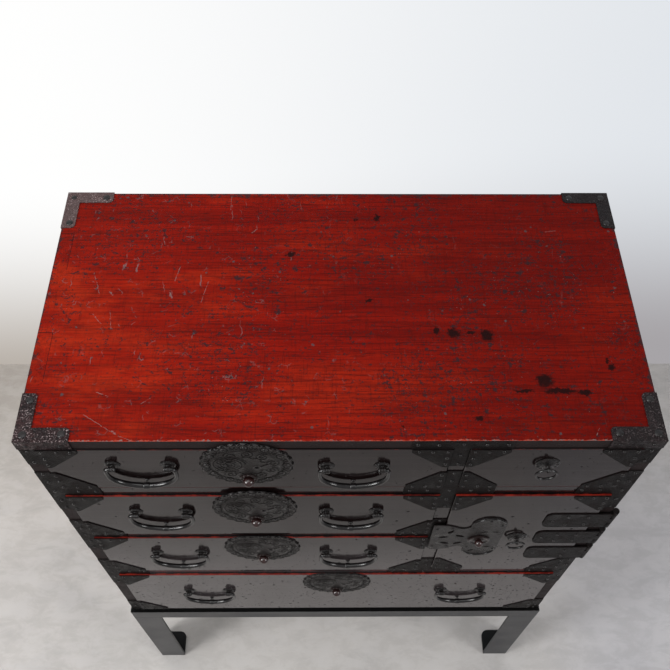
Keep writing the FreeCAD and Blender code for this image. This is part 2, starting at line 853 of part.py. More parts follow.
def make_patterns():
    """The repeated fittings."""
    patterns = {"corner_iron": make_corner_iron(), "stud": make_stud()}
    patterns["knob"] = make_knob("knob", size.knob_rose_radius, size.knob_length)
    patterns["door_knob"] = make_knob("door_knob", size.door_knob_rose_radius,
                                      size.door_knob_length)
    patterns["post"] = make_eye_post("eye_post", size.eye_reach, size.eye_radius, size.eye_width,
                                     size.pin_radius + size.pin_gap, size.eye_neck_radius,
                                     size.rose_radius, size.rose_thick)
    patterns["carry_post"] = make_eye_post("carry_post", size.carry_reach, size.eye_radius,
                                           size.eye_width, size.pin_radius + size.pin_gap,
                                           size.eye_neck_radius, size.rose_radius,
                                           size.rose_thick)
    patterns["ring_post"] = make_eye_post("ring_post", size.ring_reach, size.ring_eye_radius,
                                          size.ring_eye_width,
                                          size.ring_wire_radius + size.ring_gap,
                                          size.ring_neck_radius, size.ring_rose_radius,
                                          size.ring_rose_thick)
    patterns["bail"] = make_bail("front_bail", size.eye_spacing, size.bail_half_width,
                                 size.bail_drop)
    patterns["carry_bail"] = make_bail("carry_bail", size.carry_spacing, size.carry_half_width,
                                       size.carry_bail_drop)
    patterns["round_lock"] = make_lock_plate("round_lock_plate", flat=False)
    patterns["flat_lock"] = make_lock_plate("flat_lock_plate", flat=True)
    return patterns


# Drawers.

def front_board(name, low, high, proud, mortise=None):
    """A front with softened outer edges; its back may be cut out for a lock case."""
    body = new_body(name, (low[0], front + size.front_thick - proud, low[1]))
    wide = high[0] - low[0]
    tall = high[1] - low[1]
    outline = sketch_on(body, "XZ_Plane", f"{name}_outline")
    draw_outline(outline, [(ZERO, ZERO), (wide, ZERO), (wide, tall), (ZERO, tall)])
    slab = pad(body, outline, size.front_thick, f"{name}_slab")

    def outer(edge):
        return all(near(vertex.Point.y, -size.front_thick) for vertex in edge.Vertexes)

    round_edges(body, slab, size.front_edge_round, outer, f"{name}_edges",
                kind="PartDesign::Chamfer")
    if mortise is not None:
        (left, low_z), (right, high_z) = mortise
        seat = sketch_on(body, "XZ_Plane", f"{name}_mortise_outline")
        draw_outline(seat, [(left - low[0], low_z - low[1]), (right - low[0], low_z - low[1]),
                            (right - low[0], high_z - low[1]), (left - low[0], high_z - low[1])])
        pocket(body, seat, size.lock_case_depth + size.case_gap, f"{name}_mortise", reverse=True)
    return body


def drawer_box(name, low, high, proud):
    """Two sides, a back and a floor behind the front."""
    start = front + size.front_thick - proud
    end = back_inside - size.drawer_back_clear
    base = low[1] - size.front_gap + size.drawer_run_gap
    tall = high[1] - size.drawer_side_drop - base
    side = size.drawer_side_thick
    inner_left = low[0] + side
    inner_wide = high[0] - low[0] - side * 2
    inner_end = end - size.drawer_back_thick
    pieces = [box(f"{name}_left", (low[0], start, base), (side, end - start, tall)),
              box(f"{name}_right", (high[0] - side, start, base), (side, end - start, tall)),
              box(f"{name}_back", (inner_left, inner_end, base),
                  (inner_wide, size.drawer_back_thick, tall)),
              box(f"{name}_floor", (inner_left, start, base + size.drawer_floor_lift),
                  (inner_wide, inner_end - start, size.drawer_floor_thick))]
    return group(name, pieces)


def corner_irons(name, pattern, low, high, face):
    """The four plates at the corners of a front."""
    corners = (("top_right", high[0], high[1], 0), ("bottom_right", high[0], low[1], QUARTER),
               ("bottom_left", low[0], low[1], HALF), ("top_left", low[0], high[1],
                                                       HALF + QUARTER))
    irons = [copy_of(pattern, f"{name}_{corner}", (x, face, z), about_y(angle))
             for corner, x, z, angle in corners]
    return group(name, irons)


def lock_set(name, patterns, x, z, face, flat, case_low, case_high, proud):
    """A lock plate with its knob outside and its case behind."""
    plate = copy_of(patterns["flat_lock" if flat else "round_lock"], f"{name}_plate",
                    (x, face, z))
    knob = copy_of(patterns["knob"], f"{name}_knob",
                   (x, face - size.lock_thick - size.field_height, z - size.knob_drop))
    behind = front + size.front_thick - proud
    case = box(f"{name}_case", (case_low[0] + size.case_gap, behind - size.lock_case_depth,
                                case_low[1] + size.case_gap),
               (case_high[0] - case_low[0] - size.case_gap * 2, size.lock_case_depth,
                case_high[1] - case_low[1] - size.case_gap * 2))
    return group(name, [plate, knob, case])


def make_lock_drawer(number, patterns, columns, rows, proud, handles, drops, lock_x, flat):
    """One of the four large drawers with its lock and two swinging handles."""
    name = f"drawer_{number}"
    gap = size.front_gap
    low = (columns[0] + gap, rows[0] + gap)
    high = (columns[1] - gap, rows[1] - gap)
    face = front - proud
    half_case = size.lock_case_width / 2
    case_top = high[1] - size.lock_case_drop
    case_low = (lock_x - half_case, case_top - size.lock_case_height)
    case_high = (lock_x + half_case, case_top)
    publish(f"{name}_front", front_board(f"{name}_front", low, high, proud,
                                         (case_low, case_high)))
    publish(f"{name}_box", drawer_box(f"{name}_box", low, high, proud))
    publish(f"{name}_corner_irons", corner_irons(f"{name}_corner_irons", patterns["corner_iron"],
                                                 low, high, face))
    publish(f"{name}_lock", lock_set(f"{name}_lock", patterns, lock_x, rows[1] - size.lock_drop,
                                     face, flat, case_low, case_high, proud))
    posts = []
    for side, handle_x, drop in zip(("left", "right"), handles, drops):
        eye_z = rows[1] - drop
        for mark, offset in (("a", -size.eye_spacing / 2), ("b", size.eye_spacing / 2)):
            posts.append(copy_of(patterns["post"], f"{name}_{side}_post_{mark}",
                                 (handle_x + offset, face, eye_z)))
        posts.append(copy_of(patterns["stud"], f"{name}_{side}_stud",
                             (handle_x, face, eye_z - size.stud_drop)))
        bail = copy_of(patterns["bail"], f"{name}_{side}_bail_copy",
                       (handle_x, face - size.eye_reach, eye_z))
        publish(f"{name}_{side}_bail", group(f"{name}_{side}_bail", [bail]))
    publish(f"{name}_handle_posts", group(f"{name}_handle_posts", posts))


def ring_pull(name, patterns, x, z, face):
    """A ring that hangs in the eye of its own small post."""
    post = copy_of(patterns["ring_post"], f"{name}_ring_post_copy", (x, face, z))
    publish(f"{name}_ring_post", group(f"{name}_ring_post", [post]))
    ring = doc.addObject("Part::Torus", f"{name}_ring")
    bind(ring, Radius1=size.ring_radius, Radius2=size.ring_wire_radius)
    place(ring, (x, face - size.ring_reach, z - size.ring_radius), TURN_TO_FRONT)
    publish(f"{name}_ring", ring)


def make_drawers(patterns):
    left_column = (left_inside, divider_left)
    full_width = (left_inside, right_inside)
    handles = (-size.handle_left_offset, size.handle_right_offset)
    wide_handles = (-size.handle_wide_left, size.handle_wide_right)
    lock_x = -size.lock_offset
    make_lock_drawer(1, patterns, left_column, (row1_low, row1_top), size.row1_proud, handles,
                     (size.handle1_drop, size.handle1_right_drop), lock_x, False)
    make_lock_drawer(2, patterns, left_column, (row2_low, row2_top), size.row2_proud, handles,
                     (size.handle2_drop, size.handle2_drop), lock_x, False)
    make_lock_drawer(3, patterns, left_column, (row3_low, row3_top), size.row3_proud, handles,
                     (size.handle3_drop, size.handle3_drop), lock_x, True)
    make_lock_drawer(4, patterns, full_width, (row4_low, row4_top), size.row4_proud, wide_handles,
                     (size.handle4_drop, size.handle4_drop), ZERO, True)
    gap = size.front_gap
    low = (divider_right + gap, row1_low + gap)
    high = (right_inside - gap, row1_top - gap)
    publish("small_drawer_front", front_board("small_drawer_front", low, high, size.row1_proud))
    publish("small_drawer_box", drawer_box("small_drawer_box", low, high, size.row1_proud))
    publish("small_drawer_corner_irons",
            corner_irons("small_drawer_corner_irons", patterns["corner_iron"], low, high,
                         front - size.row1_proud))
    ring_pull("small_drawer", patterns, size.small_ring_offset, row1_top - size.small_ring_drop,
              front - size.row1_proud)


# The cupboard door, its openwork lock and its strap hinges.

door_face = front - size.door_proud
hinge_x = half_width + size.hinge_stand_off + size.knuckle_radius
hinge_y = door_face - size.strap_thick + size.knuckle_radius
KNUCKLES = 3
knuckle_height = size.hinge_height / KNUCKLES


def hinge_strap(name, middle):
    """A door strap: a plate with rounded ends and the middle knuckle of the hinge."""
    half = size.hinge_height / 2
    clear = size.knuckle_radius + size.knuckle_gap
    tongue = knuckle_height / 2 - size.knuckle_gap
    body = new_body(f"{name}_plate", (hinge_x, door_face, middle))
    outline = sketch_on(body, "XZ_Plane", f"{name}_outline")
    draw_outline(outline, [(-size.strap_length, -half), (-clear, -half), (-clear, -tongue),
                           (ZERO, -tongue), (ZERO, tongue), (-clear, tongue), (-clear, half),
                           (-size.strap_length, half)])
    plate = pad(body, outline, size.strap_thick, f"{name}_flat")

    def far_end(edge):
        return (through_at(-size.strap_length, -half)(edge)
                or through_at(-size.strap_length, half)(edge))

    round_edges(body, plate, size.strap_round, far_end, f"{name}_rounds")
    knuckle = rod(f"{name}_knuckle", size.knuckle_radius, tongue * 2,
                  (hinge_x, hinge_y, middle - tongue))
    bore = rod(f"{name}_bore", size.hinge_pin_radius + size.hinge_pin_gap,
               (tongue + size.cut_overrun) * 2,
               (hinge_x, hinge_y, middle - tongue - size.cut_overrun))
    return cut_away(name, join(f"{name}_solid", [body, knuckle]), bore)


def hinge_leaf(name, middle):
    """The leaf on the end of the chest, with the upper and lower knuckles."""
    half = size.hinge_height / 2
    plate = box(f"{name}_plate", (half_width, hinge_y, middle - half),
                (size.strap_thick, size.leaf_length, size.hinge_height))
    window = box(f"{name}_window", (half_width - size.cut_overrun, hinge_y - size.cut_overrun,
                                    middle - knuckle_height / 2),
                 (size.strap_thick + size.cut_overrun * 2,
                  size.knuckle_radius + size.knuckle_gap + size.cut_overrun, knuckle_height))
    knuckles = [rod(f"{name}_knuckle_{mark}", size.knuckle_radius, knuckle_height,
                    (hinge_x, hinge_y, low))
                for mark, low in (("low", middle - half), ("high", middle + knuckle_height / 2))]
    solid = join(f"{name}_solid", [cut_away(f"{name}_notched", plate, window)] + knuckles)
    bore = rod(f"{name}_bore", size.hinge_pin_radius + size.hinge_pin_gap,
               size.hinge_height + size.cut_overrun * 2,
               (hinge_x, hinge_y, middle - half - size.cut_overrun))
    return cut_away(name, solid, bore)


def hinge_pin(name, middle):
    """The pin, with a head at each end of the knuckles."""
    half = size.hinge_height / 2
    shank = rod(f"{name}_shank", size.hinge_pin_radius, size.hinge_height,
                (hinge_x, hinge_y, middle - half))
    heads = [rod(f"{name}_head_{mark}", size.knuckle_radius, size.hinge_pin_head,
                 (hinge_x, hinge_y, low))
             for mark, low in (("low", middle - half - size.hinge_pin_head),
                               ("high", middle + half))]
    return join(name, [shank] + heads)


def make_hinges():
    straps = []
    leaves = []
    pins = []
    for number in range(whole(size.hinge_count)):
        middle = row2_top - size.hinge_drop - size.hinge_pitch * number
        straps.append(hinge_strap(f"hinge_strap_{number + 1}", middle))
        leaves.append(hinge_leaf(f"hinge_leaf_{number + 1}", middle))
        pins.append(hinge_pin(f"hinge_pin_{number + 1}", middle))
    publish("door_hinge_straps", group("door_hinge_straps", straps))
    publish("side_hinge_leaves", group("side_hinge_leaves", leaves))
    publish("hinge_pins", group("hinge_pins", pins))


def lens(across, up, length, radius, turn, thick):
    """A leaf-shaped plug: what two overlapping round bars have in common."""
    apart = math.sqrt(radius * radius - length * length / 4)
    axis = FreeCAD.Vector(0, -1, 0)
    bars = [Part.makeCylinder(radius, thick, FreeCAD.Vector(side * apart, 0, 0), axis)
            for side in (-1, 1)]
    leaf = bars[0].common(bars[1])
    leaf.rotate(FreeCAD.Vector(), FreeCAD.Vector(0, 1, 0), turn)
    leaf.translate(FreeCAD.Vector(across, 0, up))
    return leaf


# Places of the pierced leaves on the wing, as shares of its length and half height,
# with the turn of each leaf in degrees.
LEAF_SHARES = ((0.5, 0.52, 20), (0.66, 0.06, 70), (0.22, 0.16, -55), (0.58, -0.46, -60),
               (0.22, -0.46, 50))
# Places of the smaller leaves on the tall plate, as shares of its half width and half height.
SMALL_LEAF_SHARES = ((-0.1, 0.31, 90), (0.58, 0.31, 90), (0.4, -0.5, 80), (-0.5, -0.72, 40))
# The upper edge of the wing, from its root outward, as shares of its length and half height.
WING_SHARES = ((0.0, 0.92), (0.2, 0.76), (0.48, 0.94), (0.72, 1.04), (1.0, 1.0))


def make_door_lock(x, z):
    """An openwork plate: a tall plate with rounded ends, and a pierced wing beside it."""
    half = float(size.door_lock_half_width)
    tall = float(size.door_lock_half_height)
    thick = float(size.lock_thick)
    axis = FreeCAD.Vector(0, -1, 0)
    middle = Part.makeBox(half * 2, thick, (tall - half) * 2,
                          FreeCAD.Vector(-half, -thick, half - tall))
    lobes = [Part.makeCylinder(half, thick, FreeCAD.Vector(0, 0, side * (tall - half)), axis)
             for side in (-1, 1)]
    wing_length = float(size.door_lock_wing_length)
    wing_half = float(size.door_lock_wing_half_height)
    upper = [FreeCAD.Vector(-half - wing_length * along, 0, wing_half * up)
             for along, up in WING_SHARES]
    lower = [FreeCAD.Vector(spot.x, 0, -spot.z) for spot in reversed(upper)]
    curves = []
    for edge in (upper, lower):
        curve = Part.BSplineCurve()
        curve.interpolate(edge)
        curves.append(curve.toShape())
    root = FreeCAD.Vector(0, 0, 0)
    edges = [curves[0], Part.makeLine(upper[-1], lower[0]), curves[1],
             Part.makeLine(lower[-1], root), Part.makeLine(root, upper[0])]
    wing = Part.Face(Part.Wire(edges)).extrude(axis * thick)
    plate = middle.fuse(lobes + [wing])
    holes = [lens(-half - wing_length * along, wing_half * up, float(size.leaf_hole_length),
                  float(size.leaf_hole_radius), turn, thick)
             for along, up, turn in LEAF_SHARES]
    holes += [lens(half * across, tall * up, float(size.small_leaf_length),
                   float(size.small_leaf_radius), turn, thick)
              for across, up, turn in SMALL_LEAF_SHARES]
    plate = plate.cut(holes).removeSplitter()
    piece = doc.addObject("Part::Feature", "door_lock_plate")
    piece.Shape = plate
    return place(piece, (x, door_face, z))


def make_door(patterns):
    gap = size.front_gap
    low = (divider_right + gap, door_low + gap)
    high = (right_inside - gap, row2_top - gap)
    publish("door_panel", front_board("door_panel", low, high, size.door_proud))
    publish("door_corner_irons", corner_irons("door_corner_irons", patterns["corner_iron"], low,
                                              high, door_face))
    x = size.door_lock_offset
    z = row2_top - size.door_lock_drop
    plate = make_door_lock(x, z)
    knob = copy_of(patterns["door_knob"], "door_lock_knob",
                   (x - size.door_knob_inset, door_face - size.lock_thick,
                    z - size.door_knob_lower))
    publish("door_lock", group("door_lock", [plate, knob]))
    ring_pull("door", patterns, size.door_ring_offset, row2_top - size.door_ring_drop, door_face)
    make_hinges()


def make_carry_handles(patterns):
    """A swinging handle on each end of the chest."""
    middle = front + size.carry_setback
    height = chest_top - size.carry_drop
    posts = []
    for side, sign, turn in (("left", -1, -QUARTER), ("right", 1, QUARTER)):
        wall = half_width * sign
        for mark, offset in (("front", -size.carry_spacing / 2), ("back", size.carry_spacing / 2)):
            posts.append(copy_of(patterns["carry_post"], f"{side}_carry_post_{mark}",
                                 (wall, middle + offset, height), about_z(turn)))
        bail = copy_of(patterns["carry_bail"], f"{side}_carry_bail_copy",
                       (wall + size.carry_reach * sign, middle, height), about_z(turn))
        publish(f"{side}_carry_bail", group(f"{side}_carry_bail", [bail]))
    publish("side_handle_posts", group("side_handle_posts", posts))


def check_and_write():
    """Stop if anything failed, then write each sub-part to its own file."""
    doc.recompute()
    faulty = [thing.Name for thing in doc.Objects
              if "Invalid" in thing.State or "Error" in thing.State]
    if faulty:
        raise RuntimeError(f"failed: {faulty}")
    for name, thing in NODES.items():
        if thing.Shape.isNull() or not thing.Shape.isValid():
            raise RuntimeError(f"{name} has no valid shape")
    os.makedirs("parts", exist_ok=True)
    for name, thing in NODES.items():
        thing.Shape.exportStep(f"parts/{name}.step")
        print(f"{name}: {len(thing.Shape.Solids)} solids, {thing.Shape.Volume / 1000:.1f} cm3")
    print(f"{len(NODES)} sub-parts")


make_carcass()
make_stand()
make_top_corner_irons()
make_stile_irons()
make_divider_irons()
PATTERNS = make_patterns()
make_drawers(PATTERNS)
make_door(PATTERNS)
make_carry_handles(PATTERNS)
check_and_write()
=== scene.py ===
# %% [markdown]
# A lacquered clothing chest with iron fittings, on a stand of angle steel.
#
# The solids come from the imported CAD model, so every size is already right. This script gives them
# their lacquer, iron and steel, and adds what is too fine for the solids: nails, engraving, turned
# knobs and worn edges.

import json
import math
import random

import bmesh
import bpy
from mathutils import Matrix, Vector, kdtree


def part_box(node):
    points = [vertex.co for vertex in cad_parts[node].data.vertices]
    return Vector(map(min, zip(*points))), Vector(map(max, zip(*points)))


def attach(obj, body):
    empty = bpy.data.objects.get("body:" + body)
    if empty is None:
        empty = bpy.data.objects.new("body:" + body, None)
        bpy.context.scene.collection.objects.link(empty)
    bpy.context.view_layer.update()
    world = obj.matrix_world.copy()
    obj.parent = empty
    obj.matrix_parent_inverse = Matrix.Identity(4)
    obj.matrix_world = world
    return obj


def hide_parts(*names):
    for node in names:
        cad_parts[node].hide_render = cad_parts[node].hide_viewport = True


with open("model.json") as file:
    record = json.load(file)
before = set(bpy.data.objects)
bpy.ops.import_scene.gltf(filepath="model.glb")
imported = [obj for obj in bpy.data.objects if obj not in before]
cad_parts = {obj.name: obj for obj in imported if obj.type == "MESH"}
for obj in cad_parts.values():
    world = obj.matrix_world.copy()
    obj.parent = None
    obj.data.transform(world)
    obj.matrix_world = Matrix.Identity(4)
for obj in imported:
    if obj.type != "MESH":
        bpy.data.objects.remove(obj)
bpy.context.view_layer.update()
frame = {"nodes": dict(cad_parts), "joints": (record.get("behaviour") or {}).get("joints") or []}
nodes = frame["nodes"]
MM = 0.001
PIVOTS = {joint["child"]: Vector(joint["pos_m"]) / MM for joint in frame["joints"]
          if joint["type"] == "hinge"}
CASE_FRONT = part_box("left_side_board")[0].y
CASE_HALF, CASE_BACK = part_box("top_board")[1].xy

# %% [markdown]
# The photograph looks down on the chest from above its front edge. The camera stands at the place
# where the corners of the chest, the stand's feet and the drawers' edges fall on the same spots as
# in the photograph.

# %% Camera
CAMERA_PLACE = Vector((-0.0209, CASE_FRONT - 0.5045, 2.3258))
PITCH_DOWN = math.radians(56.81)
YAW = math.radians(-1.11)
ROLL = math.radians(-0.89)
LENS = 44.38


def new_object(name, data):
    """A new object in the scene."""
    thing = bpy.data.objects.new(name, data)
    bpy.context.scene.collection.objects.link(thing)
    return thing


def camera_axes():
    """The camera's right, up and backward directions."""
    turn = Matrix.Rotation(YAW, 3, "Z")
    forward = turn @ Vector((0, math.cos(PITCH_DOWN), -math.sin(PITCH_DOWN)))
    right = turn @ Vector((1, 0, 0))
    down = forward.cross(right)
    rolled_right = math.cos(ROLL) * right + math.sin(ROLL) * down
    rolled_down = math.cos(ROLL) * down - math.sin(ROLL) * right
    return rolled_right, -rolled_down, -forward


camera_data = bpy.data.cameras.new("camera")
camera_data.lens = LENS
camera_data.sensor_width = 36
camera_data.clip_start = 0.05
camera = new_object("camera", camera_data)
turned_axes = Matrix(camera_axes()).transposed().to_4x4()
camera.matrix_world = Matrix.Translation(CAMERA_PLACE) @ turned_axes
bpy.context.scene.camera = camera
print("camera at", tuple(CAMERA_PLACE))

# %% [markdown]
# Shader nodes are joined by hand here. A Value stands for the output of a node, and arithmetic on
# it adds the Math nodes that do the same, so a finish reads like a formula.

# %% Helpers for shader nodes
class Value:
    """The output of a shader node. Arithmetic and comparisons on it add Math nodes."""

    def __init__(self, socket):
        self.socket = socket

    def __add__(self, other):
        return reckon("ADD", self, other)

    def __sub__(self, other):
        return reckon("SUBTRACT", self, other)

    def __rsub__(self, other):
        return reckon("SUBTRACT", other, self)

    def __mul__(self, other):
        return reckon("MULTIPLY", self, other)

    def __lt__(self, other):
        return reckon("LESS_THAN", self, other)

    def __gt__(self, other):
        return reckon("GREATER_THAN", self, other)

    def __abs__(self):
        return reckon("ABSOLUTE", self)


def fill(node, inputs):
    """Give each named or numbered input a constant or the link to a Value."""
    for name, value in inputs.items():
        socket = node.inputs[name]
        if isinstance(value, Value):
            node.id_data.links.new(value.socket, socket)
        else:
            socket.default_value = (*value, 1.0) if socket.type == "RGBA" else value


def add(kind, inputs, output=0, **settings):
    """A new node beside the first Value among its inputs; gives one of its outputs."""
    tree = next(value for value in inputs.values() if isinstance(value, Value)).socket.id_data
    node = tree.nodes.new("ShaderNode" + kind)
    for name, value in settings.items():
        setattr(node, name, value)
    fill(node, inputs)
    return Value(node.outputs[output])


def outputs_of(value):
    """All the outputs of the node that a Value comes from, by name."""
    return {socket.name: Value(socket) for socket in value.socket.node.outputs}


def reckon(operation, *values):
    return add("Math", dict(enumerate(values)), operation=operation)


def vector_sum(operation, *values, output=0):
    return add("VectorMath", dict(enumerate(values)), output, operation=operation)


def most(first, second):
    return reckon("MAXIMUM", first, second)


def least(first, second):
    return reckon("MINIMUM", first, second)

# %% [markdown]
# The words of the finishes come next: span turns a rising value into a mask, mix and painted lay
# colours over each other as coats of paint, cloud and cells draw noise, and stretch and wobble
# pull a pattern long or bend it.

# %% Helpers for colours and patterns
def span(value, low, high, new_low=0.0, new_high=1.0):
    """A value's place between two limits, held between two new ones."""
    return add("MapRange", {"Value": value, "From Min": low, "From Max": high, "To Min": new_low,
                            "To Max": new_high}, interpolation_type="SMOOTHSTEP")


def mix(share, first, second):
    """One colour going over into another."""
    return add("Mix", {0: share, 6: first, 7: second}, 2, data_type="RGBA")


def painted(ground, *coats):
    """A colour with coats over it. Each coat is the share that it covers and its colour."""
    for share, coat in coats:
        ground = mix(share, ground, coat)
    return ground


def cloud(vector, scale, detail=3.0, roughness=0.5, distortion=0.0, output=0):
    """Soft noise."""
    return add("TexNoise", {"Vector": vector, "Scale": scale, "Detail": detail,
                            "Roughness": roughness, "Distortion": distortion}, output)


def cells(vector, scale, feature="F1"):
    """A Voronoi pattern: the distance to each cell, and a colour of its own for each."""
    return outputs_of(add("TexVoronoi", {"Vector": vector, "Scale": scale}, feature=feature))


def stretch(vector, factors):
    """A position scaled by three factors."""
    return vector_sum("MULTIPLY", vector, factors)


def wobble(vector, scale, reach):
    """A position moved about by noise, by up to about half of reach each way."""
    shift = vector_sum("SUBTRACT", cloud(vector, scale, 3.0, 0.65, output=1), (0.5, 0.5, 0.5))
    return vector_sum("MULTIPLY_ADD", shift, (reach, reach, reach), vector)


def parts_of(vector):
    """The three components of a vector."""
    return list(outputs_of(add("SeparateXYZ", {0: vector})).values())


# %% [markdown]
# Effects that several finishes share are made once, as node groups. Every group works from the
# place on the chest in metres, so a pattern has its real size on every board.

# %% Helpers for shared effects
def new_group(name, given, results):
    """An empty node group: the Values that it is given, and the node that takes its results."""
    tree = bpy.data.node_groups.new(name, "ShaderNodeTree")
    for label, default in given.items():
        kind = "NodeSocketFloat" if isinstance(default, float) else "NodeSocketVector"
        socket = tree.interface.new_socket(name=label, in_out="INPUT", socket_type=kind)
        socket.default_value = default
    for label in results:
        tree.interface.new_socket(name=label, in_out="OUTPUT", socket_type="NodeSocketFloat")
    inside = tree.nodes.new("NodeGroupInput").outputs
    return [Value(inside[label]) for label in given], tree.nodes.new("NodeGroupOutput")


def results_of(group):
    """The names of what a shared effect gives."""
    return [item.name for item in group.interface.items_tree if item.in_out == "OUTPUT"]


def effect(group, **inputs):
    """A shared effect set down in a material: its outputs by name."""
    return outputs_of(add("Group", inputs, node_tree=group))


# %% [markdown]
# Wood shows as long streaks. Noise that is drawn out along the board gives them: broad soft bands
# for the growth rings, and fine short dashes for the pores.

# %% Shared effect: grain
def make_grain():
    (position, factors), end = new_group(
        "grain", {"Position": (0, 0, 0), "Stretch": (1.2, 22, 22)}, ("Bands", "Fibres"))
    drawn = stretch(position, factors)
    fill(end, {"Bands": cloud(drawn, 1.6, 4, 0.62, 0.35),
               "Fibres": cloud(stretch(drawn, (2.2, 3, 3)), 9, 5, 0.68)})
    return end.id_data


GRAIN = make_grain()
print("grain gives:", results_of(GRAIN))

# %% [markdown]
# A chest this old is covered in small knocks. Each cell of a Voronoi pattern holds one dent, bent
# out of round by noise; a random number of the cell decides if it is there at all, and a slow
# noise makes some regions more worn than others.

# %% Shared effect: dents and scratches
def make_dents():
    (position, scale, amount, size), end = new_group(
        "dents", {"Position": (0, 0, 0), "Scale": 60.0, "Amount": 0.3, "Size": 0.25},
        ("Dents", "Scratches"))
    bent = wobble(position, 160.0, 0.006)
    pattern = cells(bent, scale)
    chance = parts_of(pattern["Color"])
    region = span(cloud(position, 5, 3, 0.6), 0.35, 0.68, 0.15, 1.0)
    there = chance[0] < amount * region
    shape = size * reckon("POWER", chance[1], 1.5) - pattern["Distance"]
    lines = cells(bent, scale * 0.42, "DISTANCE_TO_EDGE")["Distance"]
    thin = span(lines, 0.0, 0.045, 1.0, 0.0)
    rare = span(cloud(position, 46, 2, 0.5), 0.6, 0.66)
    fill(end, {"Dents": there * span(shape, 0.0, 0.1), "Scratches": thin * rare * region})
    return end.id_data


DENTS = make_dents()
print("dents give:", results_of(DENTS))

# %% [markdown]
# Old iron is pitted by rust and rubbed bright where hands and cloths reach it. Two sizes of noise
# make the pits, and a slow one makes the patches of brown rust and of bare, smoother metal.

# %% Shared effect: pitted iron
def make_pitting():
    (position, scale), end = new_group("pitting", {"Position": (0, 0, 0), "Scale": 420.0},
                                       ("Pits", "Rust", "Rubbed"))
    holes = span(cells(position, scale * 0.55)["Distance"], 0.1, 0.42)
    pits = span(cloud(position, scale, 4.0, 0.6), 0.3, 0.62) * (holes * 0.5 + 0.5)
    fill(end, {"Pits": pits, "Rust": span(cloud(position, 55, 5, 0.7), 0.42, 0.66),
               "Rubbed": span(cloud(position, 28, 3, 0.55), 0.5, 0.7)})
    return end.id_data


PITTING = make_pitting()
print("pitting gives:", results_of(PITTING))

# %% [markdown]
# A finish starts from the same few nodes: the Principled shader, the position on the chest and the
# direction that the surface faces.

# %% Helpers for finishes
def new_finish(name):
    """An empty material: itself, its shader, the position and the direction it faces."""
    material = bpy.data.materials.new(name)
    material.use_nodes = True
    made = material.node_tree.nodes
    position = made.new("ShaderNodeTexCoord").outputs["Object"]
    facing = made.new("ShaderNodeNewGeometry").outputs["Normal"]
    return material, made["Principled BSDF"], Value(position), Value(facing)


def raise_surface(shader, height, depth, strength=1.0):
    """Small relief from a height value."""
    relief = add("Bump", {"Height": height, "Distance": depth, "Strength": strength})
    fill(shader, {"Normal": relief})

# %% [markdown]
# Some marks have places of their own on the top: burns and knots, long scratches and the ends of
# the joints. The distance from each place, worked out by nodes, becomes a mask. That keeps a mark
# sharp, however close the camera comes, and needs no picture.

# %% Helpers for marks at places
def in_metres(rows):
    """Rows of millimetres as rows of metres."""
    return [[size * MM for size in row] for row in rows]


def spot_mask(position, spots):
    """A mask of soft-edged marks at places in X and Y, each with two half lengths."""
    bent = wobble(position, 130.0, 0.02)
    total = 0.0
    for x, y, long, wide in in_metres(spots):
        away = stretch(vector_sum("SUBTRACT", bent, (x, y, 0)), (1 / long, 1 / wide, 0))
        total = most(total, span(vector_sum("LENGTH", away, output=1), 0.55, 1.1, 1.0, 0.0))
    return total


def line_mask(position, lines):
    """A mask of broken scratches between pairs of places in X and Y, each with a half width."""
    bent = stretch(wobble(position, 90.0, 0.004), (1, 1, 0))
    total = 0.0
    for x_start, y_start, x_end, y_end, half in in_metres(lines):
        run = Vector((x_end - x_start, y_end - y_start, 0))
        away = vector_sum("SUBTRACT", bent, (x_start, y_start, 0))
        share = vector_sum("DOT_PRODUCT", away, run / run.length_squared, output=1)
        rest = vector_sum("MULTIPLY_ADD", -run, least(most(share, 0.0), 1.0), away)
        length = vector_sum("LENGTH", rest, output=1)
        total = most(total, span(length, half * 0.2, half * 0.7, 1.0, 0.0))
    return total * span(cloud(position, 300), 0.38, 0.56)


def joint_mask(x, y, ends):
    """The thin dark outline of each joint end."""
    total = 0.0
    for inner, near, far in in_metres(ends):
        past_side = abs(y - (near + far) / 2) - (far - near) / 2
        past = abs(most(past_side, x - inner))
        total = most(total, span(past, 0.0003, 0.0014, 1.0, 0.0))
    return total


# %% [markdown]
# The top is worn red lacquer over a grained board. The red is laid on in layers, so the grain
# shows as darker and more orange streaks. Knots and burns are dark brown, the dents are filled
# with grey-black grime, and the front edge is rubbed to orange.

# %% Marks on the top
# Burns and knots on the top: place, half length and half width, all in millimetres.
TOP_MARKS = (
    (-78, 109, 8, 6), (-82, 57, 3, 3), (145, -37, 6, 7), (172, -43, 13, 9), (197, -42, 8, 4),
    (221, -48, 11, 12), (265, -143, 17, 4), (298, -126, 15, 14), (316, -144, 30, 6),
    (353, -146, 13, 6), (399, -104, 5, 7), (395, -93, 3, 3), (45, 17, 5, 4), (29, 182, 4, 4),
    (63, 186, 5, 9), (196, -188, 11, 3), (87, -201, 3, 3))
# Scratches: both ends and half the width.
TOP_SCRATCHES = (
    (-364, -181, -308, -216, 0.9), (-311, -214, -270, -230, 0.8), (-320, -207, -316, -210, 3),
    (-352, -2, -346, -35, 1.2), (-387, 71, -373, 30, 1), (-253, 83, -258, 55, 1.2),
    (-206, 53, -214, 14, 1), (-180, 236, -180, 203, 1), (-357, 34, -352, 28, 3),
    (-264, 32, -260, 22, 2.5), (-142, 153, -134, 162, 1.2), (-377, -8, -362, -26, 1.1),
    (-352, -144, -334, -151, 1.1), (-286, -164, -273, -154, 1), (339, 156, 356, 158, 1),
    (358, -214, 364, -203, 1.2))
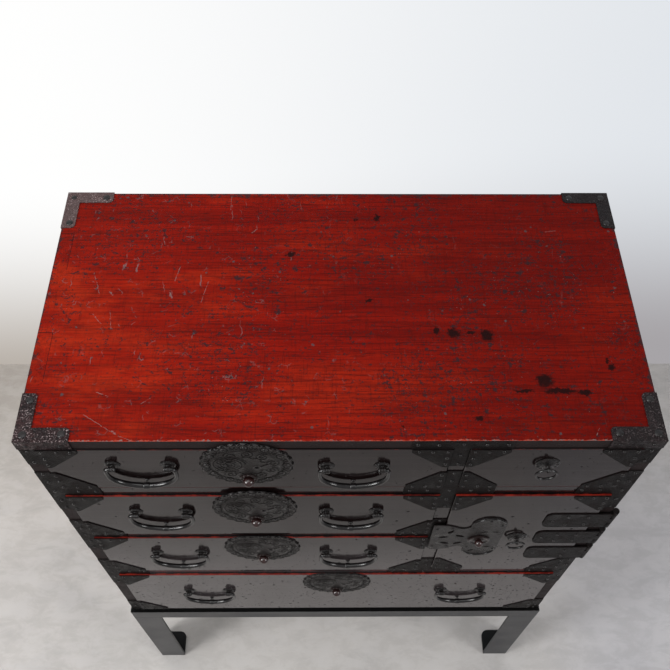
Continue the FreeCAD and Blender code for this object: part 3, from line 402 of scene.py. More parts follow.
# Ends of the joints at the left edge: inner x, nearest y and furthest y.
JOINT_ENDS = ((-432, 77, 151), (-432, -127, -42))
print("marks on the top:", len(TOP_MARKS), "and scratches:", len(TOP_SCRATCHES))

# %% [markdown]
# The coats are made one by one, as a painter would lay them: the streaks of the grain, then the
# grime and the scuffs, then the worn edges.

# %% Coats of the red lacquer
def red_grain(position, direction, x, level):
    """The lacquer over the grain: darker lines along it, orange where light falls on thin red,
    painted light on the left and painted shade to the right.
    """
    bands = effect(GRAIN, Position=position, Stretch=direction)["Bands"]
    drawn = stretch(position, direction)
    glow = span(cloud(stretch(position, (1.6, 5, 5)), 1.0, 6, 0.7), 0.46, 0.66)
    lines = span(cloud(stretch(drawn, (8, 14, 14)), 1.0, 4, 0.75), 0.44, 0.64)
    dashes = span(cloud(stretch(drawn, (26, 20, 20)), 1.0, 3, 0.7), 0.54, 0.66)
    across = span(cloud(stretch(position, (330, 26, 26)), 1.0, 4, 0.7), 0.52, 0.66)
    # Painted light: brighter orange on the left of the top, where the stronger light falls.
    lit_left = span(x, -0.05, -0.42) * span(glow, 0.1, 0.6, 0.05, 0.2)
    ground = mix(span(bands, 0.32, 0.68), (0.135, 0.0035, 0.0018), (0.21, 0.006, 0.002))
    red = painted(ground, (glow * (level * 0.36 + 0.14), (0.36, 0.02, 0.004)),
                  (lines * 0.62, (0.06, 0.003, 0.002)), (dashes * 0.6, (0.028, 0.004, 0.004)),
                  (across * 0.4, (0.05, 0.004, 0.003)), (lit_left * level, (0.42, 0.032, 0.007)),
                  # Painted shade: the last coat darkens the lacquer towards the right.
                  (span(x, -0.2, 0.35, 0.0, 0.4), (0.055, 0.003, 0.002)))
    return red, lines


def grime_and_scuffs(position, x):
    """The share that grime fills, and the coats of dents, bare specks and scraped places."""
    worn = effect(DENTS, Position=position, Scale=95.0, Amount=0.3, Size=0.3)
    fine = effect(DENTS, Position=position, Scale=170.0, Amount=0.2, Size=0.2)
    crowd = span(cloud(position, 9, 3, 0.6), 0.35, 0.65, -0.035, 0.035)
    crowd = crowd + span(x, -0.1, 0.35, 0.0, 0.02)
    large = crowd + cloud(stretch(position, (0.75, 1, 1)), 105, 4, 0.62)
    small = crowd + cloud(stretch(position, (0.7, 1, 1)), 290, 3, 0.6)
    grime = most(span(large, 0.622, 0.672), span(small, 0.6, 0.67) * 0.8)
    grime = most(grime, worn["Scratches"] * 0.8)
    bare = span(crowd + cloud(position, 330, 2, 0.5), 0.75, 0.79)
    upright = cloud(stretch(wobble(position, 30, 0.02), (210, 9, 9)), 1.0, 2, 0.5)
    scraped = span(upright, 0.7, 0.73) * span(cloud(position, 24, 3, 0.6), 0.52, 0.6)
    scraped = most(scraped, fine["Scratches"]) * span(x, 0.15, -0.2, 0.15, 0.7)
    return grime, ((grime * 0.85, (0.02, 0.012, 0.014)),
                   (worn["Dents"] * 0.7, (0.05, 0.055, 0.058)),
                   (bare * 0.6, (0.2, 0.19, 0.185)), (scraped, (0.14, 0.1, 0.1)))


def edge_coats(position, facing, x, y, level):
    """Dirt along the sides and back of the top, the rubbed front edge and the dark front face."""
    from_side = least(CASE_HALF - abs(x), CASE_BACK - y)
    dirt = from_side < span(cloud(position, 70, 5, 0.75), 0.4, 0.75, 0.0, 0.012)
    uneven = span(cloud(position, 120, 5, 0.75), 0.35, 0.7, 0.0002, 0.0034)
    worn_edge = (y - CASE_FRONT) < uneven
    scuff = mix(span(cloud(position, 160, 4, 0.7), 0.46, 0.6), (0.33, 0.05, 0.03),
                (0.17, 0.13, 0.125))
    forward = span(parts_of(facing)[1] * -1.0, 0.6, 0.85)
    return ((dirt * (level * 0.8), (0.025, 0.015, 0.016)), (worn_edge * 0.8, scuff),
            (forward, (0.022, 0.016, 0.016)))

# %% [markdown]
# One function puts the coats together. The top and the sides get a material each, because the
# grain runs along the top and up the sides.

# %% Red lacquer
def make_red_lacquer(name, direction, marks=()):
    material, shader, position, facing = new_finish(name)
    x, y, _ = parts_of(position)
    level = span(parts_of(facing)[2], 0.6, 0.9)
    red, lines = red_grain(position, direction, x, level)
    grime, coats = grime_and_scuffs(position, x)
    red = painted(red, *coats)
    if marks:
        lines = line_mask(position, TOP_SCRATCHES) * 0.6
        red = painted(red, (lines, (0.18, 0.13, 0.125)),
                      (joint_mask(x, y, JOINT_ENDS) * 0.75, (0.012, 0.004, 0.004)),
                      (spot_mask(position, marks) * 0.93, (0.008, 0.003, 0.003)))
    red = painted(red, *edge_coats(position, facing, x, y, level))
    rough = span(cloud(position, 30, 4, 0.6), 0.3, 0.7, 0.36, 0.5)
    fill(shader, {"Base Color": red, "Roughness": grime * -0.1 + rough,
                  "Specular IOR Level": 0.03})
    fibres = effect(GRAIN, Position=position, Stretch=direction)["Fibres"]
    raise_surface(shader, lines * -0.3 + (grime * -0.9 + fibres * 0.35), 0.0007, 0.7)
    return material


ALONG_X = (1.2, 22, 22)
ALONG_Z = (22, 22, 1.2)
TOP_RED = make_red_lacquer("red_lacquer_top", ALONG_X, TOP_MARKS)
SIDE_RED = make_red_lacquer("red_lacquer_sides", ALONG_Z)
print("red lacquer:", TOP_RED.name, SIDE_RED.name)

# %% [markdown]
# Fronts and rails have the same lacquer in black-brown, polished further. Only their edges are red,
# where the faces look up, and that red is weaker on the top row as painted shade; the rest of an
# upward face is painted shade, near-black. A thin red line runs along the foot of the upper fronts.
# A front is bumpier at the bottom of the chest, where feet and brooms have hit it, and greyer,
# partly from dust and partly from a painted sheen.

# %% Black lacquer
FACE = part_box("drawer_2_front")[0].y
GROOVE_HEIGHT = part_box("drawer_1_front")[0].z + 0.0005


def red_edges(black, dents, position, facing, y, height_up):
    """The red that shows on the upper edge of a front, painted shade on the rest of its upward
    faces, and the line along its foot.
    """
    red = mix(span(cloud(position, 60, 4, 0.6), 0.35, 0.65), (0.07, 0.004, 0.003),
              (0.21, 0.014, 0.007))
    up = span(parts_of(facing)[2], 0.5, 0.8)
    wide = span(cloud(position, 45, 4, 0.7), 0.3, 0.7, 0.0012, 0.003)
    # Painted shade: the red strip is weaker on the top row, under the top board.
    edge = ((y - FACE) < wide) * span(height_up, 1.13, 1.2, 1.0, 0.7) * up
    groove = span(abs(height_up - GROOVE_HEIGHT), 0.0016, 0.0026, 1.0, 0.0) * (1.0 - up)
    # Painted shade: upward faces go near-black for the gap under the part above.
    black = painted(black, (up, (0.003, 0.0022, 0.0022)), (edge, red),
                    (groove, (0.045, 0.008, 0.007)))
    return black, most(dents, groove)


def make_black_lacquer(name, direction, edges_red=True):
    material, shader, position, facing = new_finish(name)
    bands = effect(GRAIN, Position=position, Stretch=direction)["Bands"]
    _, y, height_up = parts_of(position)
    low_down = span(height_up, 0.62, 1.15, 1.0, 0.2)
    knocks = effect(DENTS, Position=position, Scale=62.0, Amount=low_down * 0.6, Size=0.24)
    specks = low_down * 0.05 + cloud(position, 190, 3, 0.6)
    dents = most(knocks["Dents"], span(specks, 0.69, 0.73))
    streaks = cloud(stretch(stretch(position, direction), (3, 9, 9)), 1.0, 4, 0.7)
    # Greyer towards the bottom: partly dust, partly a painted sheen for the pale floor that the
    # lower fronts reflect.
    dust_and_sheen = span(height_up, 0.7, 0.95, 1.0, 0.0) * span(streaks, 0.3, 0.7, 0.6, 1.0)
    black = mix(span(bands, 0.35, 0.7), (0.0055, 0.003, 0.003), (0.009, 0.005, 0.005))
    black = painted(black, (dust_and_sheen, (0.045, 0.037, 0.039)), (dents, (0.004, 0.003, 0.003)))
    if edges_red:
        black, dents = red_edges(black, dents, position, facing, y, height_up)
    rough = span(cloud(position, 14, 4, 0.6), 0.3, 0.7, 0.08, 0.15)
    shine = (streaks * -0.5 + 0.72) * span(height_up, 0.68, 0.98, 1.45, 1.0)
    fill(shader, {"Base Color": black, "Roughness": dents * 0.3 + rough, "IOR": 1.38,
                  "Specular IOR Level": shine * (dents * -0.75 + 1.0),
                  "Specular Tint": (1, 0.88, 0.88)})
    height = streaks * 0.06 + (dents * -0.5 + cloud(position, 7, 2, 0.5) * 0.55)
    raise_surface(shader, height, 0.0012, 0.55)
    return material


FRONT_BLACK = make_black_lacquer("black_lacquer_fronts", ALONG_X)
CASE_BLACK = make_black_lacquer("black_lacquer_case", ALONG_X, edges_red=False)
POST_BLACK = make_black_lacquer("black_lacquer_upright", ALONG_Z, edges_red=False)
print("black lacquer:", FRONT_BLACK.name, CASE_BLACK.name, POST_BLACK.name)

# %% [markdown]
# The inside of a chest is never lacquered: pale softwood, browned by age, with darker late-wood
# lines.

# %% Plain wood
def make_plain_wood(name, direction):
    material, shader, position, _ = new_finish(name)
    grain = effect(GRAIN, Position=position, Stretch=direction)
    wood = mix(span(grain["Bands"], 0.34, 0.68), (0.36, 0.2, 0.09), (0.52, 0.33, 0.17))
    stains = span(cloud(position, 9, 4, 0.6), 0.5, 0.75, 0.0, 0.45)
    wood = painted(wood, (span(grain["Fibres"], 0.5, 0.74, 0.0, 0.6), (0.24, 0.12, 0.05)),
                   (stains, (0.2, 0.11, 0.06)))
    fill(shader, {"Base Color": wood, "Roughness": 0.72})
    raise_surface(shader, grain["Fibres"], 0.0004, 0.5)
    return material


PLAIN_WOOD = make_plain_wood("plain_wood", (22, 1.2, 22))
BACK_WOOD = make_plain_wood("plain_wood_back", ALONG_Z)
print("plain wood:", PLAIN_WOOD.name, BACK_WOOD.name)

# %% [markdown]
# The flat irons are nearly black, brown in the pits and a little bright where they are rubbed.
# Handles and knobs are the same iron, rubbed smooth by use.

# %% Iron
def specks_and_painted_light(tone, position):
    """Pale specks on the corner irons of the top, a painted sheen at the back left and painted shade
    at the far right.
    """
    x, y, _ = parts_of(position)
    pale_specks = (span(cloud(position, 430, 3, 0.65), 0.54, 0.64)
            * span(cloud(position, 70, 3, 0.6), 0.38, 0.62, 0.12, 1.0))
    # Painted light: a paler sheen at the back left, where the iron reflects light. Painted shade:
    # darker at the far right.
    painted_sheen_back_left = span(x, 0.2, -0.2) * span(y, -0.1, 0.1)
    painted_shade_right = span(x, -0.2, 0.2) * (span(y, -0.1, 0.1) * 0.2 + 0.68)
    return painted(tone, (pale_specks * 0.9, (0.3, 0.24, 0.24)), (painted_sheen_back_left * 0.25, (0.25, 0.165, 0.16)),
                   (painted_shade_right, (0.006, 0.004, 0.0045)))


def make_iron(name, dark, brown, bare, roughness, pit_depth, scale, metallic, shine):
    """Iron from black through brown to bare; black where a mesh is cut, bright where rubbed."""
    material, shader, position, _ = new_finish(name)
    old = effect(PITTING, Position=position, Scale=scale)
    tone = painted(mix(old["Rust"] * 0.8, dark, brown), (old["Rubbed"] * 0.5, bare),
                   (span(old["Pits"], 0.1, 0.5, 0.75, 0.0), (0.006, 0.005, 0.005)))
    if name == "bracket_iron":
        tone = specks_and_painted_light(tone, position)
    attribute = shader.id_data.nodes.new("ShaderNodeAttribute")
    attribute.attribute_name = "cut"
    cut = Value(attribute.outputs["Fac"])
    deep, rubbed = most(cut, 0.0), least(cut, 0.0)
    tone = painted(tone, (deep, (0.0012, 0.001, 0.001)), (cut * -0.2, (0.06, 0.052, 0.05)))
    rough = old["Rust"] * 0.12 + (old["Rubbed"] * -0.12 + roughness)
    fill(shader, {"Base Color": tone, "Roughness": rough, "Metallic": metallic,
                  "Specular IOR Level": rubbed * (shine - 0.9) + (deep * -shine + shine)})
    raise_surface(shader, old["Pits"], pit_depth, 0.8)
    return material


# Colours in the dark, in the rust and where bare; roughness, depth and scale of the pits,
# metallic share and shine.
FLAT_IRON, BRACKET_IRON, LOCK_IRON, BRIGHT_IRON, POST_IRON, KNOB_IRON, NAIL_IRON = (
    make_iron(*row) for row in (
        ("flat_iron", (0.0045, 0.0035, 0.0035), (0.009, 0.0055, 0.005), (0.011, 0.009, 0.009),
         0.45, 0.0005, 420.0, 0.15, 0.08),
        ("bracket_iron", (0.009, 0.0035, 0.004), (0.027, 0.0105, 0.011), (0.05, 0.028, 0.029),
         0.36, 0.0012, 260.0, 0.15, 0.16),
        ("lock_iron", (0.005, 0.0035, 0.0034), (0.009, 0.005, 0.0045), (0.012, 0.0095, 0.0095),
         0.3, 0.0004, 420.0, 0.1, 0.3),
        ("handle_iron", (0.004, 0.0036, 0.0039), (0.009, 0.006, 0.0058), (0.014, 0.013, 0.014),
         0.17, 0.00006, 300.0, 0.08, 0.6),
        ("post_iron", (0.004, 0.0035, 0.0036), (0.01, 0.006, 0.0055), (0.014, 0.012, 0.012),
         0.24, 0.0002, 500.0, 0.05, 0.5),
        ("knob_iron", (0.02, 0.0055, 0.0048), (0.03, 0.0085, 0.0075), (0.032, 0.013, 0.012),
         0.16, 0.00004, 300.0, 0.1, 0.8),
        ("nail_iron", (0.004, 0.003, 0.003), (0.008, 0.005, 0.005), (0.018, 0.016, 0.016),
         0.2, 0.0001, 500.0, 0.1, 0.4)))
print("iron:", FLAT_IRON.name, BRACKET_IRON.name, LOCK_IRON.name, BRIGHT_IRON.name)

# %% [markdown]
# The stand is new steel, painted a satin dark grey. Faint brush marks and a few rubbed places keep
# it from looking like plastic. The ledge that carries the chest and the tops of the foot plates are
# painted near-black, as painted shade.

# %% Stand steel
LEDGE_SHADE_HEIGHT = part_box("stand_rails")[1].z - 0.004
FOOT_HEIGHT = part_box("stand_foot_plates")[1].z + 0.004


def make_stand_steel():
    material, shader, position, facing = new_finish("stand_steel")
    brushed = cloud(stretch(position, (60, 60, 3)), 6, 4, 0.6)
    patchy = cloud(position, 7, 4, 0.6)
    height = parts_of(position)[2]
    # Painted shade: the upward faces of the ledge and of the foot plates are near-black.
    ledge_shade = most(height > LEDGE_SHADE_HEIGHT, (height < FOOT_HEIGHT) * 0.75)
    ledge_shade = ledge_shade * span(parts_of(facing)[2], 0.7, 0.9)
    tone = mix(span(patchy, 0.35, 0.7), (0.0205, 0.021, 0.024), (0.031, 0.0325, 0.037))
    tone = painted(tone, (span(brushed, 0.58, 0.75, 0.0, 0.3), (0.062, 0.065, 0.07)),
                   (ledge_shade, (0.003, 0.003, 0.003)))
    fill(shader, {"Base Color": tone, "Roughness": span(patchy, 0.3, 0.7, 0.36, 0.48),
                  "Specular IOR Level": ledge_shade * -0.45 + 0.5, "Metallic": ledge_shade * -0.35 + 0.35})
    raise_surface(shader, brushed, 0.0001, 0.35)
    return material


STAND_STEEL = make_stand_steel()
print("felt above", round(LEDGE_SHADE_HEIGHT, 3), "m and foot plates below", round(FOOT_HEIGHT, 3), "m")

# %% [markdown]
# Now each solid of the frame gets its finish. A Weld and a Bevel modifier soften the solids'
# sharp edges by a fraction of a millimetre, which is what catches the light on real edges.

# %% Finish the solids
BY_NODE = {"top_board": TOP_RED, "left_side_board": SIDE_RED, "right_side_board": SIDE_RED,
           "centre_divider": POST_BLACK, "back_panel": BACK_WOOD, "top_corner_irons": BRACKET_IRON}
BY_ENDING = {("_front", "_panel"): FRONT_BLACK, ("_shelf", "_floor", "bottom_board"): CASE_BLACK,
             ("_box",): PLAIN_WOOD, ("_irons", "_leaves", "_straps", "hinge_pins"): FLAT_IRON,
             ("_lock",): LOCK_IRON, ("_posts", "_post", "_bail", "_ring"): BRIGHT_IRON,
             ("stand_rails", "stand_legs", "stand_foot_plates"): STAND_STEEL}
EDGE_WIDTH = 0.0004
EDGE_ANGLE = math.radians(35)


def finish_for(name):
    if name in BY_NODE:
        return BY_NODE[name]
    return next(material for endings, material in BY_ENDING.items() if name.endswith(endings))


def soften(piece, width):
    """Round the sharp edges of a solid a little."""
    weld = piece.modifiers.new("weld", "WELD")
    weld.merge_threshold = 0.00002
    bevel = piece.modifiers.new("bevel", "BEVEL")
    bevel.width = width
    bevel.segments = 2
    bevel.limit_method = "ANGLE"
    bevel.angle_limit = EDGE_ANGLE
    bevel.harden_normals = False


for name, piece in nodes.items():
    piece.data.materials.clear()
    piece.data.materials.append(finish_for(name))
for name in ("top_corner_irons", "stile_irons", "divider_irons", "door_hinge_straps",
             "side_hinge_leaves", "bottom_board", "stand_rails", "stand_legs",
             "stand_foot_plates"):
    soften(nodes[name], EDGE_WIDTH)
print("finished solids:", len(nodes))

# %% [markdown]
# Everything below is small ironwork, made as real meshes. Most of it is either turned (a profile
# spun round an axis) or drawn out (a round section moved along a path), so two helpers make
# nearly all of it. Small fittings are made at the origin, looking along -Y as the front does, and
# then set in place on the solids.

# %% Helpers for small ironwork
PLANE_NORMAL = Vector((0, 1, 0))


def hang(name, mesh, body, material, at=None):
    """Put a mesh on the chest: its finish, its place and the body that it moves with."""
    piece = new_object(name, mesh)
    if not mesh.materials:
        mesh.materials.append(material)
    if at is not None:
        piece.matrix_world = at
    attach(piece, body)
    return piece


def finished_mesh(name, form):
    """A mesh from a bmesh, which is freed."""
    mesh = bpy.data.meshes.new(name)
    form.to_mesh(mesh)
    form.free()
    return mesh


def mesh_from(name, points, faces, smooth_angle=40):
    """A closed mesh in millimetres turned into metres, with outward normals."""
    form = bmesh.new()
    corners = [form.verts.new(Vector(point) * MM) for point in points]
    for face in faces:
        form.faces.new([corners[index] for index in face])
    bmesh.ops.recalc_face_normals(form, faces=form.faces)
    limit = math.radians(smooth_angle)
    for edge in form.edges:
        edge.smooth = len(edge.link_faces) == 2 and edge.calc_face_angle(0) < limit
    for face in form.faces:
        face.smooth = True
    return finished_mesh(name, form)


def polar(radius, angle):
    """The two coordinates of a point at an angle in radians."""
    return radius * math.cos(angle), radius * math.sin(angle)


def circle(count):
    """Equal steps of angle round a full turn."""
    return [math.tau * step / count for step in range(count)]

# %% [markdown]
# A turned form is a row of rings, and so is a drawn out one. Each ring is joined to the next with
# quads, and the ends are closed, so every fitting is a closed mesh.

# %% Turned and drawn out forms
def turned(profile, sides, petal_count=0, depth=0.0, petal_end=0.0):
    """Spin (distance out, radius) pairs round the Y axis; petals notch the rim up to petal_end."""
    points = []
    for out, radius in profile:
        for angle in circle(sides):
            share = 1 + depth * math.cos(petal_count * angle) if out <= petal_end else 1
            x, z = polar(radius * share, angle)
            points.append((x, -out, z))
    return points, rows_of_faces(len(profile), sides)


def rows_of_faces(rows, sides, closed=False):
    """Quads between rows of points, and a cap on each end unless the rows close on themselves."""
    faces = []
    for row in range(rows if closed else rows - 1):
        after = (row + 1) % rows
        for step in range(sides):
            turn = (step + 1) % sides
            faces.append((row * sides + step, row * sides + turn, after * sides + turn,
                          after * sides + step))
    if not closed:
        faces.append(tuple(range(sides)))
        faces.append(tuple((rows - 1) * sides + step for step in range(sides)))
    return faces


def drawn_out(path, radii, sides, closed=False):
    """A round section moved along a path of points that lies in one plane."""
    points = []
    count = len(path)
    for index, spot in enumerate(path):
        before = path[(index - 1) % count] if closed or index else spot
        after = path[(index + 1) % count] if closed or index < count - 1 else spot
        across = (after - before).normalized().cross(PLANE_NORMAL).normalized()
        for angle in circle(sides):
            points.append(spot + radii[index] * (math.cos(angle) * across
                                                 + math.sin(angle) * PLANE_NORMAL))
    return points, rows_of_faces(count, sides, closed)


def put_together(*forms):
    """Several point and face lists as one."""
    points, faces = [], []
    for more_points, more_faces in forms:
        start = len(points)
        points += [Vector(point) for point in more_points]
        faces += [tuple(index + start for index in face) for face in more_faces]
    return points, faces


def moved(form, offset, turn=Matrix.Identity(3)):
    """A point and face list turned and then shifted, in millimetres."""
    points, faces = form
    return [turn @ Vector(point) + Vector(offset) for point in points], faces

# %% [markdown]
# The solids say where things belong: their boxes give edges and heights. Two more helpers set a
# fitting in its place and store how deep its surface is cut.

# %% Helpers for places and cuts
def place_at(x, y, z, turn=0.0):
    """A place on the chest in millimetres, turned about the upright axis."""
    spot = Matrix.Translation(Vector((x, y, z)) * MM)
    return spot @ Matrix.Rotation(math.radians(turn), 4, "Z")


def edges_of(node):
    """A node's lowest and highest corner in millimetres."""
    low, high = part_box(node)
    return low / MM, high / MM


def mark_cuts(mesh, values):
    """Store how deep each point is cut: 1 is black, 0 plain and -1 rubbed bright."""
    mesh.attributes.new("cut", "FLOAT", "POINT").data.foreach_set("value", values)
    return mesh


# %% [markdown]
# The irons are held by hand-made nails with low domed heads, no two quite alike. Every iron's nails
# are worked out from the iron's own outline, and one mesh holds all the nails of a body.

# %% Nails
NAIL_RADIUS = 3.0
NAIL_HEIGHT = 1.8
NAIL_SIDES = 14
# Height and radius of a head from its foot up, as shares. The foot lies 0.2 mm deep.
HEAD_SHARES = ((0.3, 0.94), (0.6, 0.78), (0.85, 0.5), (0.97, 0.22), (1.0, 0.05))
nail_dice = random.Random(7)


def nail_head(spot, normal, size):
    """One domed head on a point of a surface."""
    radius = NAIL_RADIUS * size * nail_dice.uniform(0.85, 1.12)
    height = NAIL_HEIGHT * nail_dice.uniform(0.8, 1.1)
    profile = [(-0.2, radius)] + [(height * up, radius * out) for up, out in HEAD_SHARES]
    turn = Vector((0, -1, 0)).rotation_difference(Vector(normal)).to_matrix()
    return moved(turned(profile, NAIL_SIDES), spot, turn)


def drive_nails(name, spots, body, normal=(0, -1, 0), size=1.0):
    """All nails of one surface, with a little scatter in their places."""
    heads = []
    for spot in spots:
        shift = Vector([nail_dice.uniform(-0.7, 0.7) for _ in range(3)])
        shift -= shift.project(Vector(normal))
        heads.append(nail_head(Vector(spot) + shift, normal, size))
    hang(name, mesh_from(name, *put_together(*heads)), body, NAIL_IRON)
    return len(heads)


CORNER_NAILS = ((7, 7), (28, 6.5), (48, 6), (6.5, 28), (6, 48))


def corner_nails(name):
    """Five nails in each of the four irons at the corners of a front."""
    low, high = edges_of(name + "_corner_irons")
    spots = []
    for x, inward in ((low.x, 1), (high.x, -1)):
        for z, upward in ((low.z, 1), (high.z, -1)):
            spots += [(x + inward * along, low.y, z + upward * up) for along, up in CORNER_NAILS]
    return drive_nails(name + "_nails", spots, name)


LARGE_DRAWERS = ("drawer_1", "drawer_2", "drawer_3", "drawer_4")
print("nails in the corner irons:",
      sum(corner_nails(name) for name in (*LARGE_DRAWERS, "small_drawer", "door")))

# %% [markdown]
# The irons of the case follow its boards: upright ones on the sides and the divider, arms along
# the rails, and angle irons on the four top corners. Their nails are counted in from the edges.

# %% Nails of the case
case_low, case_high = edges_of("top_board")
case_foot = edges_of("bottom_board")[0].z
iron_top = edges_of("top_corner_irons")[1].z
front_of_irons = edges_of("stile_irons")[0].y
divider_x = sum(corner.x for corner in edges_of("centre_divider")) / 2
FRONT_GAP = 1.0
STILE_WIDTH = 22.5
RAIL_NAMES = {"upper": ("drawer_2", "drawer_1"), "middle": ("drawer_3", "drawer_2"),
              "lower": ("drawer_4", "drawer_3")}
RAIL_HEIGHTS = {level: (edges_of(below + "_front")[1].z + FRONT_GAP,
                        edges_of(above + "_front")[0].z - FRONT_GAP)
                for level, (below, above) in RAIL_NAMES.items()}
# How far along the level arms of the irons their nails are: on the stiles and on the divider.
STILE_ARM = (24, 52)
DIVIDER_ARM = (34, 63)
END_GAP = 8
# Lowest and highest end of each upright iron on the divider, and the heights of nails between.
DIVIDER_IRONS = ((1203, 1285, 1240), (1038, 1185, 1075, 1111.5, 1148),
                 (846, 987, 880, 916.5, 953), (694, 780, 742))
# Heights of the level arms of those irons, and the sides on which they have one.
DIVIDER_ARMS = ((1274, (-1, 1)), (1111.5, (-1, 1)), (916.5, (-1,)), (707, (-1, 1)))
# The strip on the lower rail: its nails' places across and their height.
STRIP_NAILS = (-183, -140, -97)
STRIP_HEIGHT = 713


def upright_nails(x, low, high, *heights):
    """Nails near both ends of an upright iron and at heights between."""
    return [(x, front_of_irons, z) for z in (low + END_GAP, *heights, high - END_GAP)]


def case_nails():
    spots = []
    inner = case_high.x - STILE_WIDTH
    for side in (-1, 1):
        x = side * (case_high.x - STILE_WIDTH / 2)
        spots += upright_nails(x, case_low.z - 50, case_low.z)
        spots += upright_nails(x, case_foot, case_foot + 70, case_foot + 32)
        for level, (low, high) in RAIL_HEIGHTS.items():
            if side > 0 and level == "middle":
                continue
            middle = (low + high) / 2
            spots += upright_nails(x, low - 60, high + 60, low - 22, middle, high + 22)
            spots += [(side * (inner - away), front_of_irons, middle) for away in STILE_ARM]
        spots += [(side * (inner - away), front_of_irons, case_foot + 10) for away in STILE_ARM]
    for heights in DIVIDER_IRONS:
        spots += upright_nails(divider_x, *heights)
    for z, sides in DIVIDER_ARMS:
        spots += [(divider_x + side * away, front_of_irons, z) for side in sides
                  for away in DIVIDER_ARM]
    spots += [(x, front_of_irons, STRIP_HEIGHT) for x in STRIP_NAILS]
    return spots


print("nails in the flat irons:", drive_nails("case_nails", case_nails(), "chest"))

# %% [markdown]
# An angle iron holds each top corner. Three large nails hold its top, and two smaller ones each
# side that turns down over the edge.

# %% Nails of the corner brackets
# On top of a corner iron, each nail's distance from the two edges; on its turned-down sides, the
# distances along, how far down the nails are and how thick the iron is.
BRACKET_TOP = ((10.5, 10.5), (65, 11), (11, 65))
BRACKET_SIDE = (14, 62)
BRACKET_DROP = 13
BRACKET_THICK = 1.5
BRACKET_NAIL_SIZE = 1.85


def bracket_nails():
    """Three nails on the top of each corner iron, and two on each of its turned-down sides."""
    outward = {"front": (0, -1, 0), "back": (0, 1, 0), "left": (-1, 0, 0), "right": (1, 0, 0)}
    top, spots = [], {side: [] for side in outward}
    z = iron_top - BRACKET_DROP
    for side, across in ((-1, "left"), (1, "right")):
        x = side * case_high.x
        for y, inward, along in ((case_low.y, 1, "front"), (case_high.y, -1, "back")):
            top += [(x - side * a, y + inward * b, iron_top) for a, b in BRACKET_TOP]
            spots[along] += [(x - side * away, y - inward * BRACKET_THICK, z)
                             for away in BRACKET_SIDE]
            spots[across] += [(x + side * BRACKET_THICK, y + inward * away, z)
                              for away in BRACKET_SIDE]
    count = drive_nails("top_nails", top, "chest", (0, 0, 1), BRACKET_NAIL_SIZE)
    return count + sum(drive_nails(f"{side}_bracket_nails", spots[side], "chest", normal)
                       for side, normal in outward.items())


print("nails in the corner brackets:", bracket_nails())

# %% [markdown]
# Five nails hold each strap to the door, and four hold its leaf to the side of the chest. The
# three hinges stand at equal steps, so the middle and the ends of the row give all the places.

# %% Nails of the hinges
STRAP_NAILS = ((13, 0), (38, 15), (38, -15), (70, 15), (70, -15))
HINGE_HALF = 29.0


def hinge_nails():
    low, high = edges_of("door_hinge_straps")
    leaf_back = edges_of("side_hinge_leaves")[1].y
    pitch = (high.z - low.z) / 2 - HINGE_HALF
    middles = [(low.z + high.z) / 2 + pitch * step for step in (1, 0, -1)]
    straps = [(low.x + along, low.y, middle + up) for middle in middles
              for along, up in STRAP_NAILS]
    leaves = [(case_high.x + 2, leaf_back - back, middle + up) for middle in middles
              for back in (10, 30) for up in (-19, 19)]
    return (drive_nails("strap_nails", straps, "door")
            + drive_nails("leaf_nails", leaves, "chest", (1, 0, 0)))


print("nails in the hinges:", hinge_nails())

# %% [markdown]
# Each large drawer has a round lock plate of sheet iron: a scalloped rim with a rolled lip, twelve
# rosettes, a raised field with engraved scrolls, a disc over the works, and the keyhole with its
# slanted slot. All sizes are in millimetres from the middle of the plate.

# %% Sizes of the lock plates
LOCK_RADIUS = 69.0
LOCK_FLAT = 56.0
LOBE_COUNT = 24
LOBE_RADIUS = 12.0
LOBE_MIDDLE = LOCK_RADIUS - LOBE_RADIUS
LOCK_THICK = 2.0
FIELD_RADIUS = 52.0
FIELD_HEIGHT = 1.0
ROSETTE_COUNT = 12
ROSETTE_MIDDLE = 58.0
DISC_MIDDLE = (-24.0, 5.0)
DISC_RADIUS = 27.0
KEY_MIDDLE = (15.0, -6.0)
KEY_RADIUS = 3.6
SLOT_START, SLOT_END = 6.0, 20.4
SLOT_HALF = 2.3
SLOT_SLANT = math.radians(34)
KNOB_DROP = 45.0
PLATE_RINGS = 96
PLATE_SPOKES = 480
print("lock plates:", 2 * LOCK_RADIUS, "mm across with", LOBE_COUNT, "lobes")

# %% [markdown]
# Engraved lines are kept as rows of points: arcs round the plate, curls that wind in, and arcs on
# the disc. A search tree then gives any place on the plate its distance to the nearest line.

# %% Engraving of the lock plates
def curl_line(x, z, start, radius, turns, hand):
    """A spiral that winds in to its middle."""
    steps = int(70 * turns)
    line = []
    for step in range(steps):
        share = step / steps
        across, up = polar(radius * (1 - 0.88 * share), start + hand * math.tau * turns * share)
        line.append((x + across, 0, z + up))
    return line


def arc_line(x, z, radius, start, end):
    """Part of a circle, from one angle to another in degrees."""
    steps = max(4, int(abs(end - start) * radius / 40))
    line = [polar(radius, math.radians(start + (end - start) * step / steps))
            for step in range(steps + 1)]
    return [(x + across, 0, z + up) for across, up in line]


# Rings of engraved arcs: how many, the first one's place in steps, their distance from the
# plate's middle, their radius, the side they face and half their length in degrees.
ARC_RINGS = ((12, 0.5, 60, 3.4, 180, 120), (48, 0.5, 65.3, 2.3, 0, 75),
             (48, 0.5, 56.68, 2.6, 180, 75), (10, 0.4, 23.1, 7.5, 0, 75))
CURL_COUNT = 10
CURL_AWAY = 38.5
CURL_RADIUS = 10.5
DISC_ARCS = (3.5, 8, 13, 18, 23.5)


def ring_of_arcs(count, offset, away, radius, facing, half):
    """Arcs at equal steps round the plate, each open to one side."""
    points = []
    for number in range(count):
        angle = math.tau * (number + offset) / count
        middle = math.degrees(angle) + facing
        points += arc_line(*polar(away, angle), radius, middle - half, middle + half)
    return points


